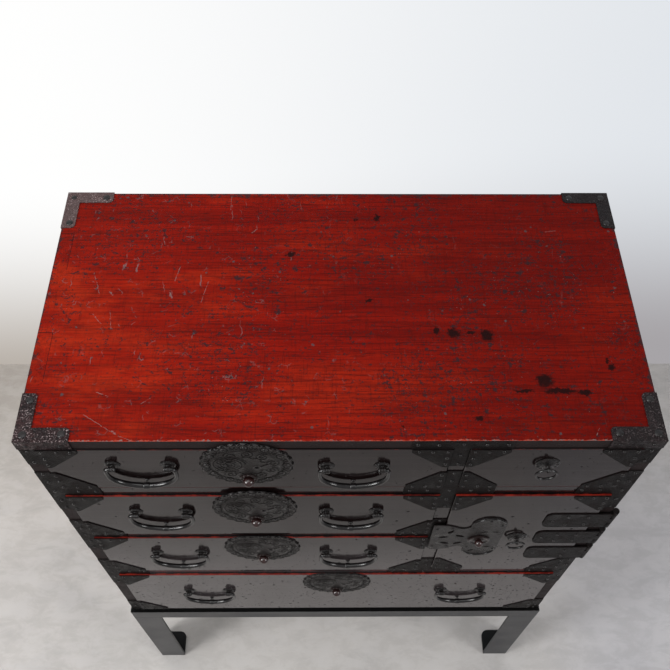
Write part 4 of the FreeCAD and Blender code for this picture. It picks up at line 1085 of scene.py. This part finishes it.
def engraved_lines():
    """Every cut line of a lock plate as points, kept clear of the disc, the key and the knob."""
    points = [point for ring in ARC_RINGS for point in ring_of_arcs(*ring)]
    for number in range(CURL_COUNT):
        angle = math.tau * (number + 0.4) / CURL_COUNT
        hand = 1 if number % 2 else -1
        points += curl_line(*polar(CURL_AWAY, angle), angle, CURL_RADIUS, 1.8, hand)
    for radius in DISC_ARCS:
        points += arc_line(*DISC_MIDDLE, radius, radius * 31, radius * 31 + 290)
    kept = []
    for point in points:
        from_disc = math.dist((point[0], point[2]), DISC_MIDDLE) - DISC_RADIUS
        from_key = math.hypot(point[0] - KEY_MIDDLE[0] - 8, point[2] - KEY_MIDDLE[1] - 4)
        from_knob = math.hypot(point[0], point[2] + KNOB_DROP)
        if not -2 <= from_disc <= 2.5 and from_key > 14 and from_knob > 15:
            kept.append(point)
    return kept


def search_tree(points):
    tree = kdtree.KDTree(len(points))
    for index, point in enumerate(points):
        tree.insert(point, index)
    tree.balance()
    return tree


ENGRAVED = search_tree(engraved_lines())

# %% [markdown]
# The relief is real: how far the plate stands out is worked out point by point, from the distances
# to the rim, the rosettes, the lines, the disc and the key. How deep a point is cut is stored too,
# so that the iron can be dark there.

# %% Relief of the lock plates
def soft_step(value, low, high):
    """0 below low, 1 above high, smooth between."""
    share = min(1.0, max(0.0, (value - low) / (high - low)))
    return share * share * (3 - 2 * share)


def ridge(value, middle, half):
    """1 at the middle of a rounded ridge, 0 at half a width away and beyond."""
    return math.sqrt(max(0.0, 1 - ((value - middle) / half) ** 2))


def rim_radius(angle):
    """Distance from a lock plate's middle to its scalloped rim."""
    step = math.tau / LOBE_COUNT
    off = abs((angle + step / 2) % step - step / 2)
    along, across = polar(LOBE_MIDDLE, off)
    return along + math.sqrt(max(LOBE_RADIUS ** 2 - across ** 2, 0))


def lock_relief(x, z, edge):
    """How far a lock plate stands out at a point, and if it is cut (1) or rubbed (-1) there."""
    radius = math.hypot(x, z)
    turn = math.tau / ROSETTE_COUNT
    nearest = polar(ROSETTE_MIDDLE, round(math.atan2(z, x) / turn) * turn)
    from_nail = math.dist((x, z), nearest)
    from_line = ENGRAVED.find((x, 0, z))[2]
    from_disc = math.dist((x, z), DISC_MIDDLE)
    from_key = math.dist((x, z), KEY_MIDDLE)
    across, up = x - KEY_MIDDLE[0], z - KEY_MIDDLE[1]
    along = across * math.cos(SLOT_SLANT) + up * math.sin(SLOT_SLANT)
    aside = up * math.cos(SLOT_SLANT) - across * math.sin(SLOT_SLANT)
    slotted = SLOT_START < along < SLOT_END
    cut = max(1 - soft_step(from_line, 0.2, 1.1), 0.9 * ridge(from_nail, 5.9, 0.8),
              0.4 * ridge(radius, 52.8, 0.8))
    height = LOCK_THICK + 0.7 * ridge(edge, 1.7, 1.6) - 0.9 * (1 - soft_step(edge, 0, 0.8))
    height += 0.6 * ridge(from_nail, 4.0, 1.2) + 0.3 * ridge(from_line, 1.9, 0.9)
    if radius < FIELD_RADIUS:
        height += FIELD_HEIGHT * (1 - soft_step(radius, FIELD_RADIUS - 5, FIELD_RADIUS))
        height += 0.5 * (1 - (radius / FIELD_RADIUS) ** 2)
    height += 0.6 * (1 - soft_step(from_disc, DISC_RADIUS - 1.2, DISC_RADIUS))
    height += 0.6 * ridge(from_key, 5.2, 1.5) - 0.6 * cut + 0.5 * ridge(aside, 0, 4.0) * slotted
    if cut < 0.1:
        cut = -max(ridge(edge, 1.7, 1.4), 0.8 * ridge(from_key, 5.2, 1.3),
                   0.8 * ridge(from_nail, 4.0, 1.0), 0.7 * ridge(abs(aside), 3.2, 0.8) * slotted)
    # Painted shade: the keyhole and its slot are no holes but shallow hollows painted black, for the
    # dark inside of the lock.
    if from_key < KEY_RADIUS or (slotted and abs(aside) < SLOT_HALF):
        height, cut = 0.25, 1.0
    return height, cut

# %% [markdown]
# A fine polar grid carries the relief. Its rings lie closer together near the rim, where the lip
# and the lobes are, and the back is one flat face.

# %% Lock plates
def ring_faces(first, second):
    """Quads between two rings of a plate that start at two points."""
    turns = [(spoke, (spoke + 1) % PLATE_SPOKES) for spoke in range(PLATE_SPOKES)]
    return [(first + here, first + there, second + there, second + here) for here, there in turns]


def lock_plate_mesh(name, flat=math.inf):
    """A closed plate: the relief in front, a rim round it and a flat back."""
    height, cut = lock_relief(0, 0, LOCK_RADIUS)
    points, cuts = [(0, -height, 0)], [cut]
    for ring in range(1, PLATE_RINGS + 1):
        for angle in circle(PLATE_SPOKES):
            reach = rim_radius(angle)
            if math.sin(angle) * reach > flat:
                reach = flat / math.sin(angle)
            away = reach * (ring / PLATE_RINGS) ** 0.85
            x, z = polar(away, angle)
            height, cut = lock_relief(x, z, reach - away)
            points.append((x, -height, z))
            cuts.append(cut)
    faces = [(0, 1 + spoke, 1 + (spoke + 1) % PLATE_SPOKES) for spoke in range(PLATE_SPOKES)]
    rim = len(points) - PLATE_SPOKES
    for start in range(1, rim + PLATE_SPOKES, PLATE_SPOKES):
        faces += ring_faces(start, start + PLATE_SPOKES)
    back = len(points)
    points += [(x, 0, z) for x, _, z in points[rim:]]
    faces.append(tuple(range(back, back + PLATE_SPOKES)))
    return mark_cuts(mesh_from(name, points, faces, 55), cuts + [0.0] * PLATE_SPOKES)


def behind_only(node, name, limit):
    """A copy of the part of a solid that lies further back than a depth in metres."""
    form = bmesh.new()
    form.from_mesh(nodes[node].data)
    bmesh.ops.remove_doubles(form, verts=form.verts, dist=0.00002)
    bmesh.ops.delete(form, geom=[vert for vert in form.verts if vert.co.y < limit],
                     context="VERTS")
    mesh = finished_mesh(name, form)
    mesh.materials.clear()
    return mesh


ROUND_PLATE = lock_plate_mesh("round_lock_plate")
FLAT_PLATE = lock_plate_mesh("flat_lock_plate", LOCK_FLAT)
print("points in a lock plate:", len(ROUND_PLATE.vertices))

# %% [markdown]
# The knob below each plate's middle is turned from iron: a rose of small round petals, a neck and
# a ball that fingers have polished.

# %% Knobs and finished locks
KNOB_LENGTH = 14.5
KNOB_BALL = 8.5
# Outlines of turned pieces: how far each ring stands out, and its radius.
KNOB_STEM = [(0, 13.6), (0.8, 14), (1.5, 13.4), (2.0, 11.5), (2.4, 8.6), (3.0, 7.4), (3.4, 5.6),
             (3.9, 4.9)]


def ball_profile(middle, radius, start, steps=12):
    """The outer part of a ball on the axis, from an angle behind its widest place to its tip."""
    angles = [math.radians(start + (89.5 - start) * step / steps) for step in range(steps + 1)]
    return [(middle + radius * math.sin(angle), radius * math.cos(angle)) for angle in angles]


def petals(count, around, radius, base, height):
    """A ring of small domes on a rose."""
    profile = [(base, radius), (base + 0.5 * height, radius * 0.9),
               (base + 0.85 * height, radius * 0.55), (base + height, radius * 0.1)]
    dome = turned(profile, 14)
    places = [polar(around, angle) for angle in circle(count)]
    return [moved(dome, (x, 0, z)) for x, z in places]


def shade_base(mesh, reach, share):
    """Keep the part of a fitting near its mount dark."""
    return mark_cuts(mesh, [share if -vert.co.y < reach * MM else 0.0 for vert in mesh.vertices])


def knob_mesh():
    ball = ball_profile(KNOB_LENGTH - KNOB_BALL, KNOB_BALL, -13)
    rose = turned(KNOB_STEM + ball, 48)
    mesh = mesh_from("knob", *put_together(rose, *petals(12, 10.9, 2.7, 1.2, 1.9)))
    return shade_base(mesh, 3.8, 0.6)


KNOB_MESH = knob_mesh()


def fit_lock(name, flat):
    """Plate, nails, knob and case of one drawer's lock, in place of its solids."""
    low, high = edges_of(name + "_lock")
    x = (low.x + high.x) / 2
    z = high.z - (LOCK_FLAT if flat else LOCK_RADIUS)
    face = edges_of(name + "_front")[0].y
    plate = hang(name + "_lock_plate", FLAT_PLATE if flat else ROUND_PLATE, name, LOCK_IRON,
                 place_at(x, face, z))
    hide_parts(name + "_lock")
    places = [polar(ROSETTE_MIDDLE, angle) for angle in circle(ROSETTE_COUNT)]
    spots = [(x + across, face - LOCK_THICK, z + up) for across, up in places
             if up > 1 - ROSETTE_MIDDLE and not (flat and up > 45)]
    drive_nails(name + "_lock_nails", spots, name)
    hang(name + "_knob", KNOB_MESH, name, KNOB_IRON,
         place_at(x, face - LOCK_THICK - FIELD_HEIGHT, z - KNOB_DROP))
    case = behind_only(name + "_lock", name + "_lock_case", (face + 1) * MM)
    soften(hang(name + "_lock_case", case, name, FLAT_IRON), 0.001)


for name in LARGE_DRAWERS:
    fit_lock(name, flat=name in LARGE_DRAWERS[2:])
print("locks fitted:", len(LARGE_DRAWERS))

# %% [markdown]
# A bail handle is one forged bar, thickest where the hand holds it. Its ends turn in to short pins
# that swing in the eyes of two posts, and its middle keeps a small forged collar. The path repeats
# the one of the solids: half an ellipse between two straight sides, and a tight curl at each end.

# %% Bails and eye posts
BAIL_SIDES = 20
PIN_RADIUS = 3.0
BAIL_THICK = 4.6
BAIL_SIDE = 18.0
BAIL_CURL = 5.8
CURL_SHARE = 0.25
EYE_WIDTH = 9.0
STUD_DROP = 55.0
# Half of the collar from its end to the middle: how far out, and how full the bar is there.
COLLAR = ((6.2, 1.0), (5.4, 0.72), (4.9, 0.72), (4.4, 1.25), (3.2, 1.42), (0, 1.48))
EYE_PROFILE = ((-4.5, 3.4), (-4.5, 4.3), (-3.9, 4.8), (-2.8, 4.75), (-2.2, 4.0), (-1.7, 4.05),
               (-1.1, 4.8), (1.1, 4.8), (1.7, 4.05), (2.2, 4.0), (2.8, 4.75), (3.9, 4.8),
               (4.5, 4.3), (4.5, 3.4), (0, 3.35))
EYE_ROSE = [(0, 11.2), (0.7, 11.7), (1.4, 11.0), (1.8, 9.8), (2.5, 9.2), (3.0, 7.8), (3.1, 6.2),
            (3.4, 5.2), (3.9, 4.3)]
STUD_PROFILE = ((0, 3.7), (0.5, 3.8), (0.7, 3.1), (1.6, 2.7), (2.4, 1.9), (2.9, 0.8), (3.0, 0.1))


def bail_line(half, drop):
    """Middle line and fullness of a bail from its right pin to its middle, about its pivot."""
    hub = Vector((half - BAIL_CURL, 0, -BAIL_CURL))
    line = []
    for step in range(9):
        across, up = polar(BAIL_CURL, math.pi / 2 * (1 - step / 8))
        line.append((hub + Vector((across, 0, up)), CURL_SHARE * step / 8))
    for step in range(28):
        angle = math.pi / 2 * (1 - step / 28)
        fall = (drop - BAIL_SIDE) * math.cos(angle)
        line.append((Vector((half * math.sin(angle), 0, -BAIL_SIDE - fall)),
                     CURL_SHARE + (1 - CURL_SHARE) * math.cos(angle)))
    return line


def bail_mesh(name, spacing, half, drop):
    """The whole bar with its pins and its collar."""
    inner = (spacing - EYE_WIDTH) / 2 - 1
    side = [(Vector((inner, 0, 0)), -0.35), (Vector((inner + 0.5, 0, 0)), 0)]
    side += [item for item in bail_line(half, drop) if item[0].x > COLLAR[0][0] + 0.8]
    side += [(Vector((x, 0, -drop)), size) for x, size in COLLAR]
    line = side + [(Vector((-spot.x, 0, spot.z)), size) for spot, size in side[-2::-1]]
    radii = [PIN_RADIUS + (BAIL_THICK - PIN_RADIUS) * size for _, size in line]
    return mesh_from(name, *drawn_out([spot for spot, _ in line], radii, BAIL_SIDES), 50)


def eye_form(profile, reach, sides=28):
    """A ring across the end of a post, as points and faces."""
    points = []
    for along, radius in profile:
        for angle in circle(sides):
            back, up = polar(radius, angle)
            points.append((along, back - reach, up))
    return points, rows_of_faces(len(profile), sides, closed=True)


def eye_post_mesh(name, reach):
    """A rose of petals and steps, a short neck and the ridged eye across its end."""
    post = turned(EYE_ROSE + [(reach - 3.5, 3.9)], 40, petal_count=10, depth=0.06, petal_end=2.0)
    return mesh_from(name, *put_together(post, eye_form(EYE_PROFILE, reach)))


STUD_MESH = mesh_from("stud", *turned(STUD_PROFILE, 24))
# Bail, post, how far the pivot stands out, and the distance between the two posts.
FRONT_SET = (bail_mesh("front_bail", 81, 50.5, 59), eye_post_mesh("eye_post", 8), 8, 81)
CARRY_SET = (bail_mesh("carry_bail", 103, 62, 60), eye_post_mesh("carry_post", 18), 18, 103)
print("points in a bail and its post:", [len(form.vertices) for form in FRONT_SET[:2]])

# %% [markdown]
# Each large drawer wears two handles, and each end of the chest a larger one that is turned to the
# side. The posts and studs stay with the drawer, and the bar swings.

# %% Bail handles
def fit_handle(body, holder, kit, turn=0):
    """One bail in its two eye posts; gives the posts, which replace the solids all at once."""
    bail, post, reach, spacing = kit
    pivot = PIVOTS[body]
    node = body.replace("_handle", "_bail")
    bar = hang(node + "_bar", bail, body, BRIGHT_IRON, place_at(*pivot, turn))
    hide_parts(node)
    spin = Matrix.Rotation(math.radians(turn), 3, "Z")
    stands = []
    for mark, side in (("a", -1), ("b", 1)):
        spot = pivot + spin @ Vector((side * spacing / 2, reach, 0))
        stands.append(hang(f"{node}_post_{mark}", post, holder, POST_IRON,
                           place_at(*spot, turn)))
    return stands


for drawer in LARGE_DRAWERS:
    stands = []
    for side in ("left", "right"):
        body = f"{drawer}_{side}_handle"
        stands += fit_handle(body, drawer, FRONT_SET)
        foot = PIVOTS[body] + Vector((0, FRONT_SET[2], -STUD_DROP))
        stands.append(hang(f"{drawer}_{side}_stud", STUD_MESH, drawer, POST_IRON,
                           place_at(*foot)))
    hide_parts(f"{drawer}_handle_posts")
stands = []
for side, turn in (("left", -90), ("right", 90)):
    stands += fit_handle(f"{side}_carry_handle", "chest", CARRY_SET, turn)
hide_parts("side_handle_posts")
print("bail handles fitted: 10")

# %% [markdown]
# The small drawer and the door have ring pulls: a wide rose with petals, a short post, and a ring
# that hangs in its eye.

# %% Ring pulls
RING_REACH = 11.0
RING_RADIUS = 15.5
RING_STEPS = 56
RING_EYE = ((-2, 2.75), (-2, 4.1), (-1.2, 4.6), (1.2, 4.6), (2, 4.1), (2, 2.75), (0, 2.65))
RING_ROSE = ((0, 18.0), (0.8, 18.5), (1.7, 17.6), (2.2, 15.4), (2.5, 11.8), (2.9, 10.6),
             (3.3, 9.4), (3.4, 7.0), (3.9, 5.4), (4.6, 3.9), (5.2, 4.2), (5.8, 3.2),
             (RING_REACH - 3.4, 3.0))


def ring_mesh():
    """A ring a little thicker at the bottom, where it is pulled."""
    path = [RING_RADIUS * Vector((math.sin(angle), 0, math.cos(angle) - 1))
            for angle in circle(RING_STEPS)]
    radii = [1.8 + 0.4 * (1 - math.cos(angle)) / 2 for angle in circle(RING_STEPS)]
    return mesh_from("pull_ring", *drawn_out(path, radii, 14, closed=True))


RING_POST = mesh_from("ring_post", *put_together(
    turned(RING_ROSE, 48), eye_form(RING_EYE, RING_REACH, 24), *petals(12, 14.6, 3.2, 1.0, 2.0)))
PULL_RING = ring_mesh()


def fit_ring(name):
    pivot = PIVOTS[name + "_ring_pull"]
    post = hang(name + "_pull_post", RING_POST, name, POST_IRON,
                place_at(pivot.x, pivot.y + RING_REACH, pivot.z))
    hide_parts(name + "_ring_post")
    ring = hang(name + "_pull_ring", PULL_RING, name + "_ring_pull", BRIGHT_IRON,
                place_at(*pivot))
    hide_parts(name + "_ring")


fit_ring("small_drawer")
fit_ring("door")
print("ring pulls fitted: 2")

# %% [markdown]
# The door's lock is an openwork plate. Its outline and leaf holes come from the solid; here it
# gains the dished rose round its knob, a rolled lip on its upper and lower ends, and its nails.

# %% Door lock
PLATE_HALF_WIDTH = 30.0
LIP_RADIUS = 27.6
LIP_HEIGHT = 62
BOSS_AWAY = (-9.0, -9.0)
BOSS_PROFILE = [(0, 19.6), (1.0, 20), (2.2, 19.2), (2.9, 17.4), (2.8, 15.6), (1.9, 14.4),
                (1.5, 12.6), (1.7, 10.8), (2.5, 9.6), (3.0, 8.0), (3.0, 6.4), (2.4, 5.4),
                (3.0, 4.6), (3.4, 4.4)]
DOOR_NAILS = ((0, 80), (0, -80), (-25, 47), (-62, 46), (-88, 44), (-88, -44), (-62, -46),
              (-25, -48), (23.5, -57), (22, 58))


def lip_line(upward):
    """A bead along one rounded end of the plate: its path and its radii."""
    path, radii = [], []
    for step in range(25):
        across, up = polar(LIP_RADIUS, math.radians(18 + 144 * step / 24))
        path.append(Vector((across, -2.4, upward * (LIP_HEIGHT + up))))
        radii.append(0.5 + 1.1 * math.sin(math.pi * (step + 1) / 26) ** 0.5)
    return path, radii


def fit_door_lock():
    low, high = edges_of("door_lock")
    face = high.y
    x, z = high.x - PLATE_HALF_WIDTH, (low.z + high.z) / 2
    plate_mesh = behind_only("door_lock", "door_lock_plate", (face - LOCK_THICK - 0.05) * MM)
    plate = hang("door_lock_plate", plate_mesh, "door", LOCK_IRON)
    soften(plate, 0.0005)
    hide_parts("door_lock")
    knob = turned(BOSS_PROFILE + ball_profile(6.6, 7.2, -22), 56)
    hang("door_lock_knob", shade_base(mesh_from("door_knob", *knob), 3.3, 0.6), "door", KNOB_IRON,
         place_at(x + BOSS_AWAY[0], face - LOCK_THICK, z + BOSS_AWAY[1]))
    lips = put_together(*[drawn_out(*lip_line(upward), 10) for upward in (1, -1)])
    hang("door_lock_lips", mesh_from("door_lock_lips", *lips), "door", BRIGHT_IRON,
         place_at(x, face, z))
    spots = [(x + across, face - LOCK_THICK, z + up) for across, up in DOOR_NAILS]
    drive_nails("door_lock_nails", spots, "door")


fit_door_lock()
print("door lock fitted")

# %% [markdown]
# The room is only a stage: a pale concrete floor and a white wall a short way behind the chest.
# The wall's back lets light and sight through, so that the chest can be seen from behind too.

# %% Floor finish
def make_floor_finish():
    """Concrete with slow patches, smears and mottling; painted shade darkens it to the right, near
    the wall at the left and in front, and painted light brightens it bluish right of the chest.
    """
    material, shader, position, _ = new_finish("pale_floor")
    x, y, _ = parts_of(position)
    slow = cloud(position, 1.1, 5, 0.62)
    smears = cloud(stretch(position, (1, 2.4, 1)), 3.2, 6, 0.66, 0.6)
    mottled = cloud(stretch(position, (1, 1.8, 1)), 13, 6, 0.72, 0.4)
    # Painted shade: browner and darker near the wall at the left.
    far = span(y, -0.2, 0.75, 0.0, 0.6) * span(x, -0.4, 0.5, 1, 0)
    # Painted light: paler and bluish on the floor to the right of the chest.
    aside = span(x, 0.5, 0.75) * span(y, 0.45, 0.1)
    tone = mix(span(slow, 0.35, 0.66), (0.43, 0.412, 0.395), (0.56, 0.535, 0.51))
    # Painted shade: coats darken the floor to the right and, as a painted shadow, in front of the
    # chest.
    tone = painted(tone, (span(smears, 0.44, 0.7, 0.0, 0.4), (0.36, 0.35, 0.345)),
                   (span(x, -0.5, 1.0) * 0.32, (0.3, 0.3, 0.32)), (far, (0.26, 0.22, 0.175)),
                   (aside * 0.35, (0.46, 0.465, 0.52)),
                   (span(y, -1.0, -0.35, 0.45, 0.0), (0.16, 0.15, 0.15)),
                   (span(mottled, 0.42, 0.62, 0.0, 0.14), (0.66, 0.65, 0.66)),
                   (span(mottled, 0.36, 0.54, 0.14, 0.0), (0.27, 0.26, 0.255)))
    fill(shader, {"Base Color": tone, "Roughness": 0.62})
    raise_surface(shader, smears, 0.002, 0.25)
    return material

# %% [markdown]
# The wall is white paint. For the camera and for reflections it glows with a painted light that
# sweeps from bright white at the top left to cooler grey at the right and darker grey near the
# floor. A mixed shader does that, and keeps the wall clear when it is seen from behind.

# %% Wall finish
def make_wall_finish():
    """White paint. The camera and mirror-like surfaces see a painted light that glows, set by its
    place on the wall.
    """
    material, shader, position, _ = new_finish("white_wall")
    fill(shader, {"Base Color": (0.82, 0.82, 0.82), "Roughness": 0.9})
    x, _, z = parts_of(position)
    sideways = span(x, -0.75, 0.9)
    low = mix(sideways, (0.465, 0.42, 0.375), (0.38, 0.365, 0.38))
    high = mix(sideways, (1, 1, 0.995), (0.75, 0.78, 0.82))
    seen = mix(span(sideways * -0.2 + z, -0.1, 0.85), low, high)
    glow = add("Emission", {"Color": seen, "Strength": 1.0})
    made = shader.id_data.nodes
    rays = made.new("ShaderNodeLightPath").outputs
    camera_ray, glossy_ray, clear_ray = (Value(rays[f"Is {kind} Ray"])
                                         for kind in ("Camera", "Glossy", "Transmission"))
    looked_at = most(camera_ray, most(glossy_ray, clear_ray))
    front = add("MixShader", {0: looked_at, 1: Value(shader.outputs[0]), 2: glow})
    behind = Value(made.new("ShaderNodeNewGeometry").outputs["Backfacing"])
    clear = Value(made.new("ShaderNodeBsdfTransparent").outputs[0])
    fill(made["Material Output"], {"Surface": add("MixShader", {0: behind, 1: front, 2: clear})})
    return material

# %% [markdown]
# Two plain planes stage the chest. They aren't part of it.

# %% Floor and wall
WALL_PLACE = 0.68
WALL_HEIGHT = 4
ROOM_HALF = 6.0


def stage_plane(name, corners, material):
    mesh = bpy.data.meshes.new(name)
    mesh.from_pydata(corners, [], [(0, 1, 2, 3)])
    mesh.materials.append(material)
    new_object(name, mesh)


stage_plane("floor", [(-ROOM_HALF, -ROOM_HALF, 0), (ROOM_HALF, -ROOM_HALF, 0),
                      (ROOM_HALF, ROOM_HALF, 0), (-ROOM_HALF, ROOM_HALF, 0)], make_floor_finish())
stage_plane("wall", [(-ROOM_HALF, WALL_PLACE, 0), (ROOM_HALF, WALL_PLACE, 0),
                     (ROOM_HALF, WALL_PLACE, WALL_HEIGHT), (-ROOM_HALF, WALL_PLACE, WALL_HEIGHT)],
            make_wall_finish())
print("stage: a floor and a wall,", 2 * ROOM_HALF, "m wide")

# %% [markdown]
# Soft daylight comes from both sides, stronger from the left: the handles and knobs each show two
# long highlights. A small lamp overhead puts a bright spot on each nail. A plain white world fills
# the shadows.

# %% Light
# Place, the height above the middle of the floor that the lamp faces, size and power.
LAMPS = {"window_left": ((-2.3, -1.3, 2.3), 0.9, 1.1, 54),
         "window_right": ((2.4, -1.4, 2.2), 0.9, 0.9, 26),
         "ceiling": ((-0.4, -0.2, 3.6), 0.5, 2.2, 26),
         "lamp": ((-1.5, -0.9, 2.9), 0.9, 0.2, 7)}
WORLD_STRENGTH = 0.45
for name, (place, aim_height, size, power) in LAMPS.items():
    data = bpy.data.lights.new(name, "AREA")
    data.size = size
    data.energy = power
    light = new_object(name, data)
    light.location = place
    toward = Vector((0, 0, aim_height)) - Vector(place)
    light.rotation_euler = toward.to_track_quat("-Z", "Y").to_euler()
world = bpy.data.worlds.new("room_light")
world.use_nodes = True
bpy.context.scene.world = world
fill(world.node_tree.nodes["Background"], {"Color": (1, 1, 1), "Strength": WORLD_STRENGTH})
bpy.context.scene.view_settings.view_transform = "Standard"
print("lights:", list(LAMPS))
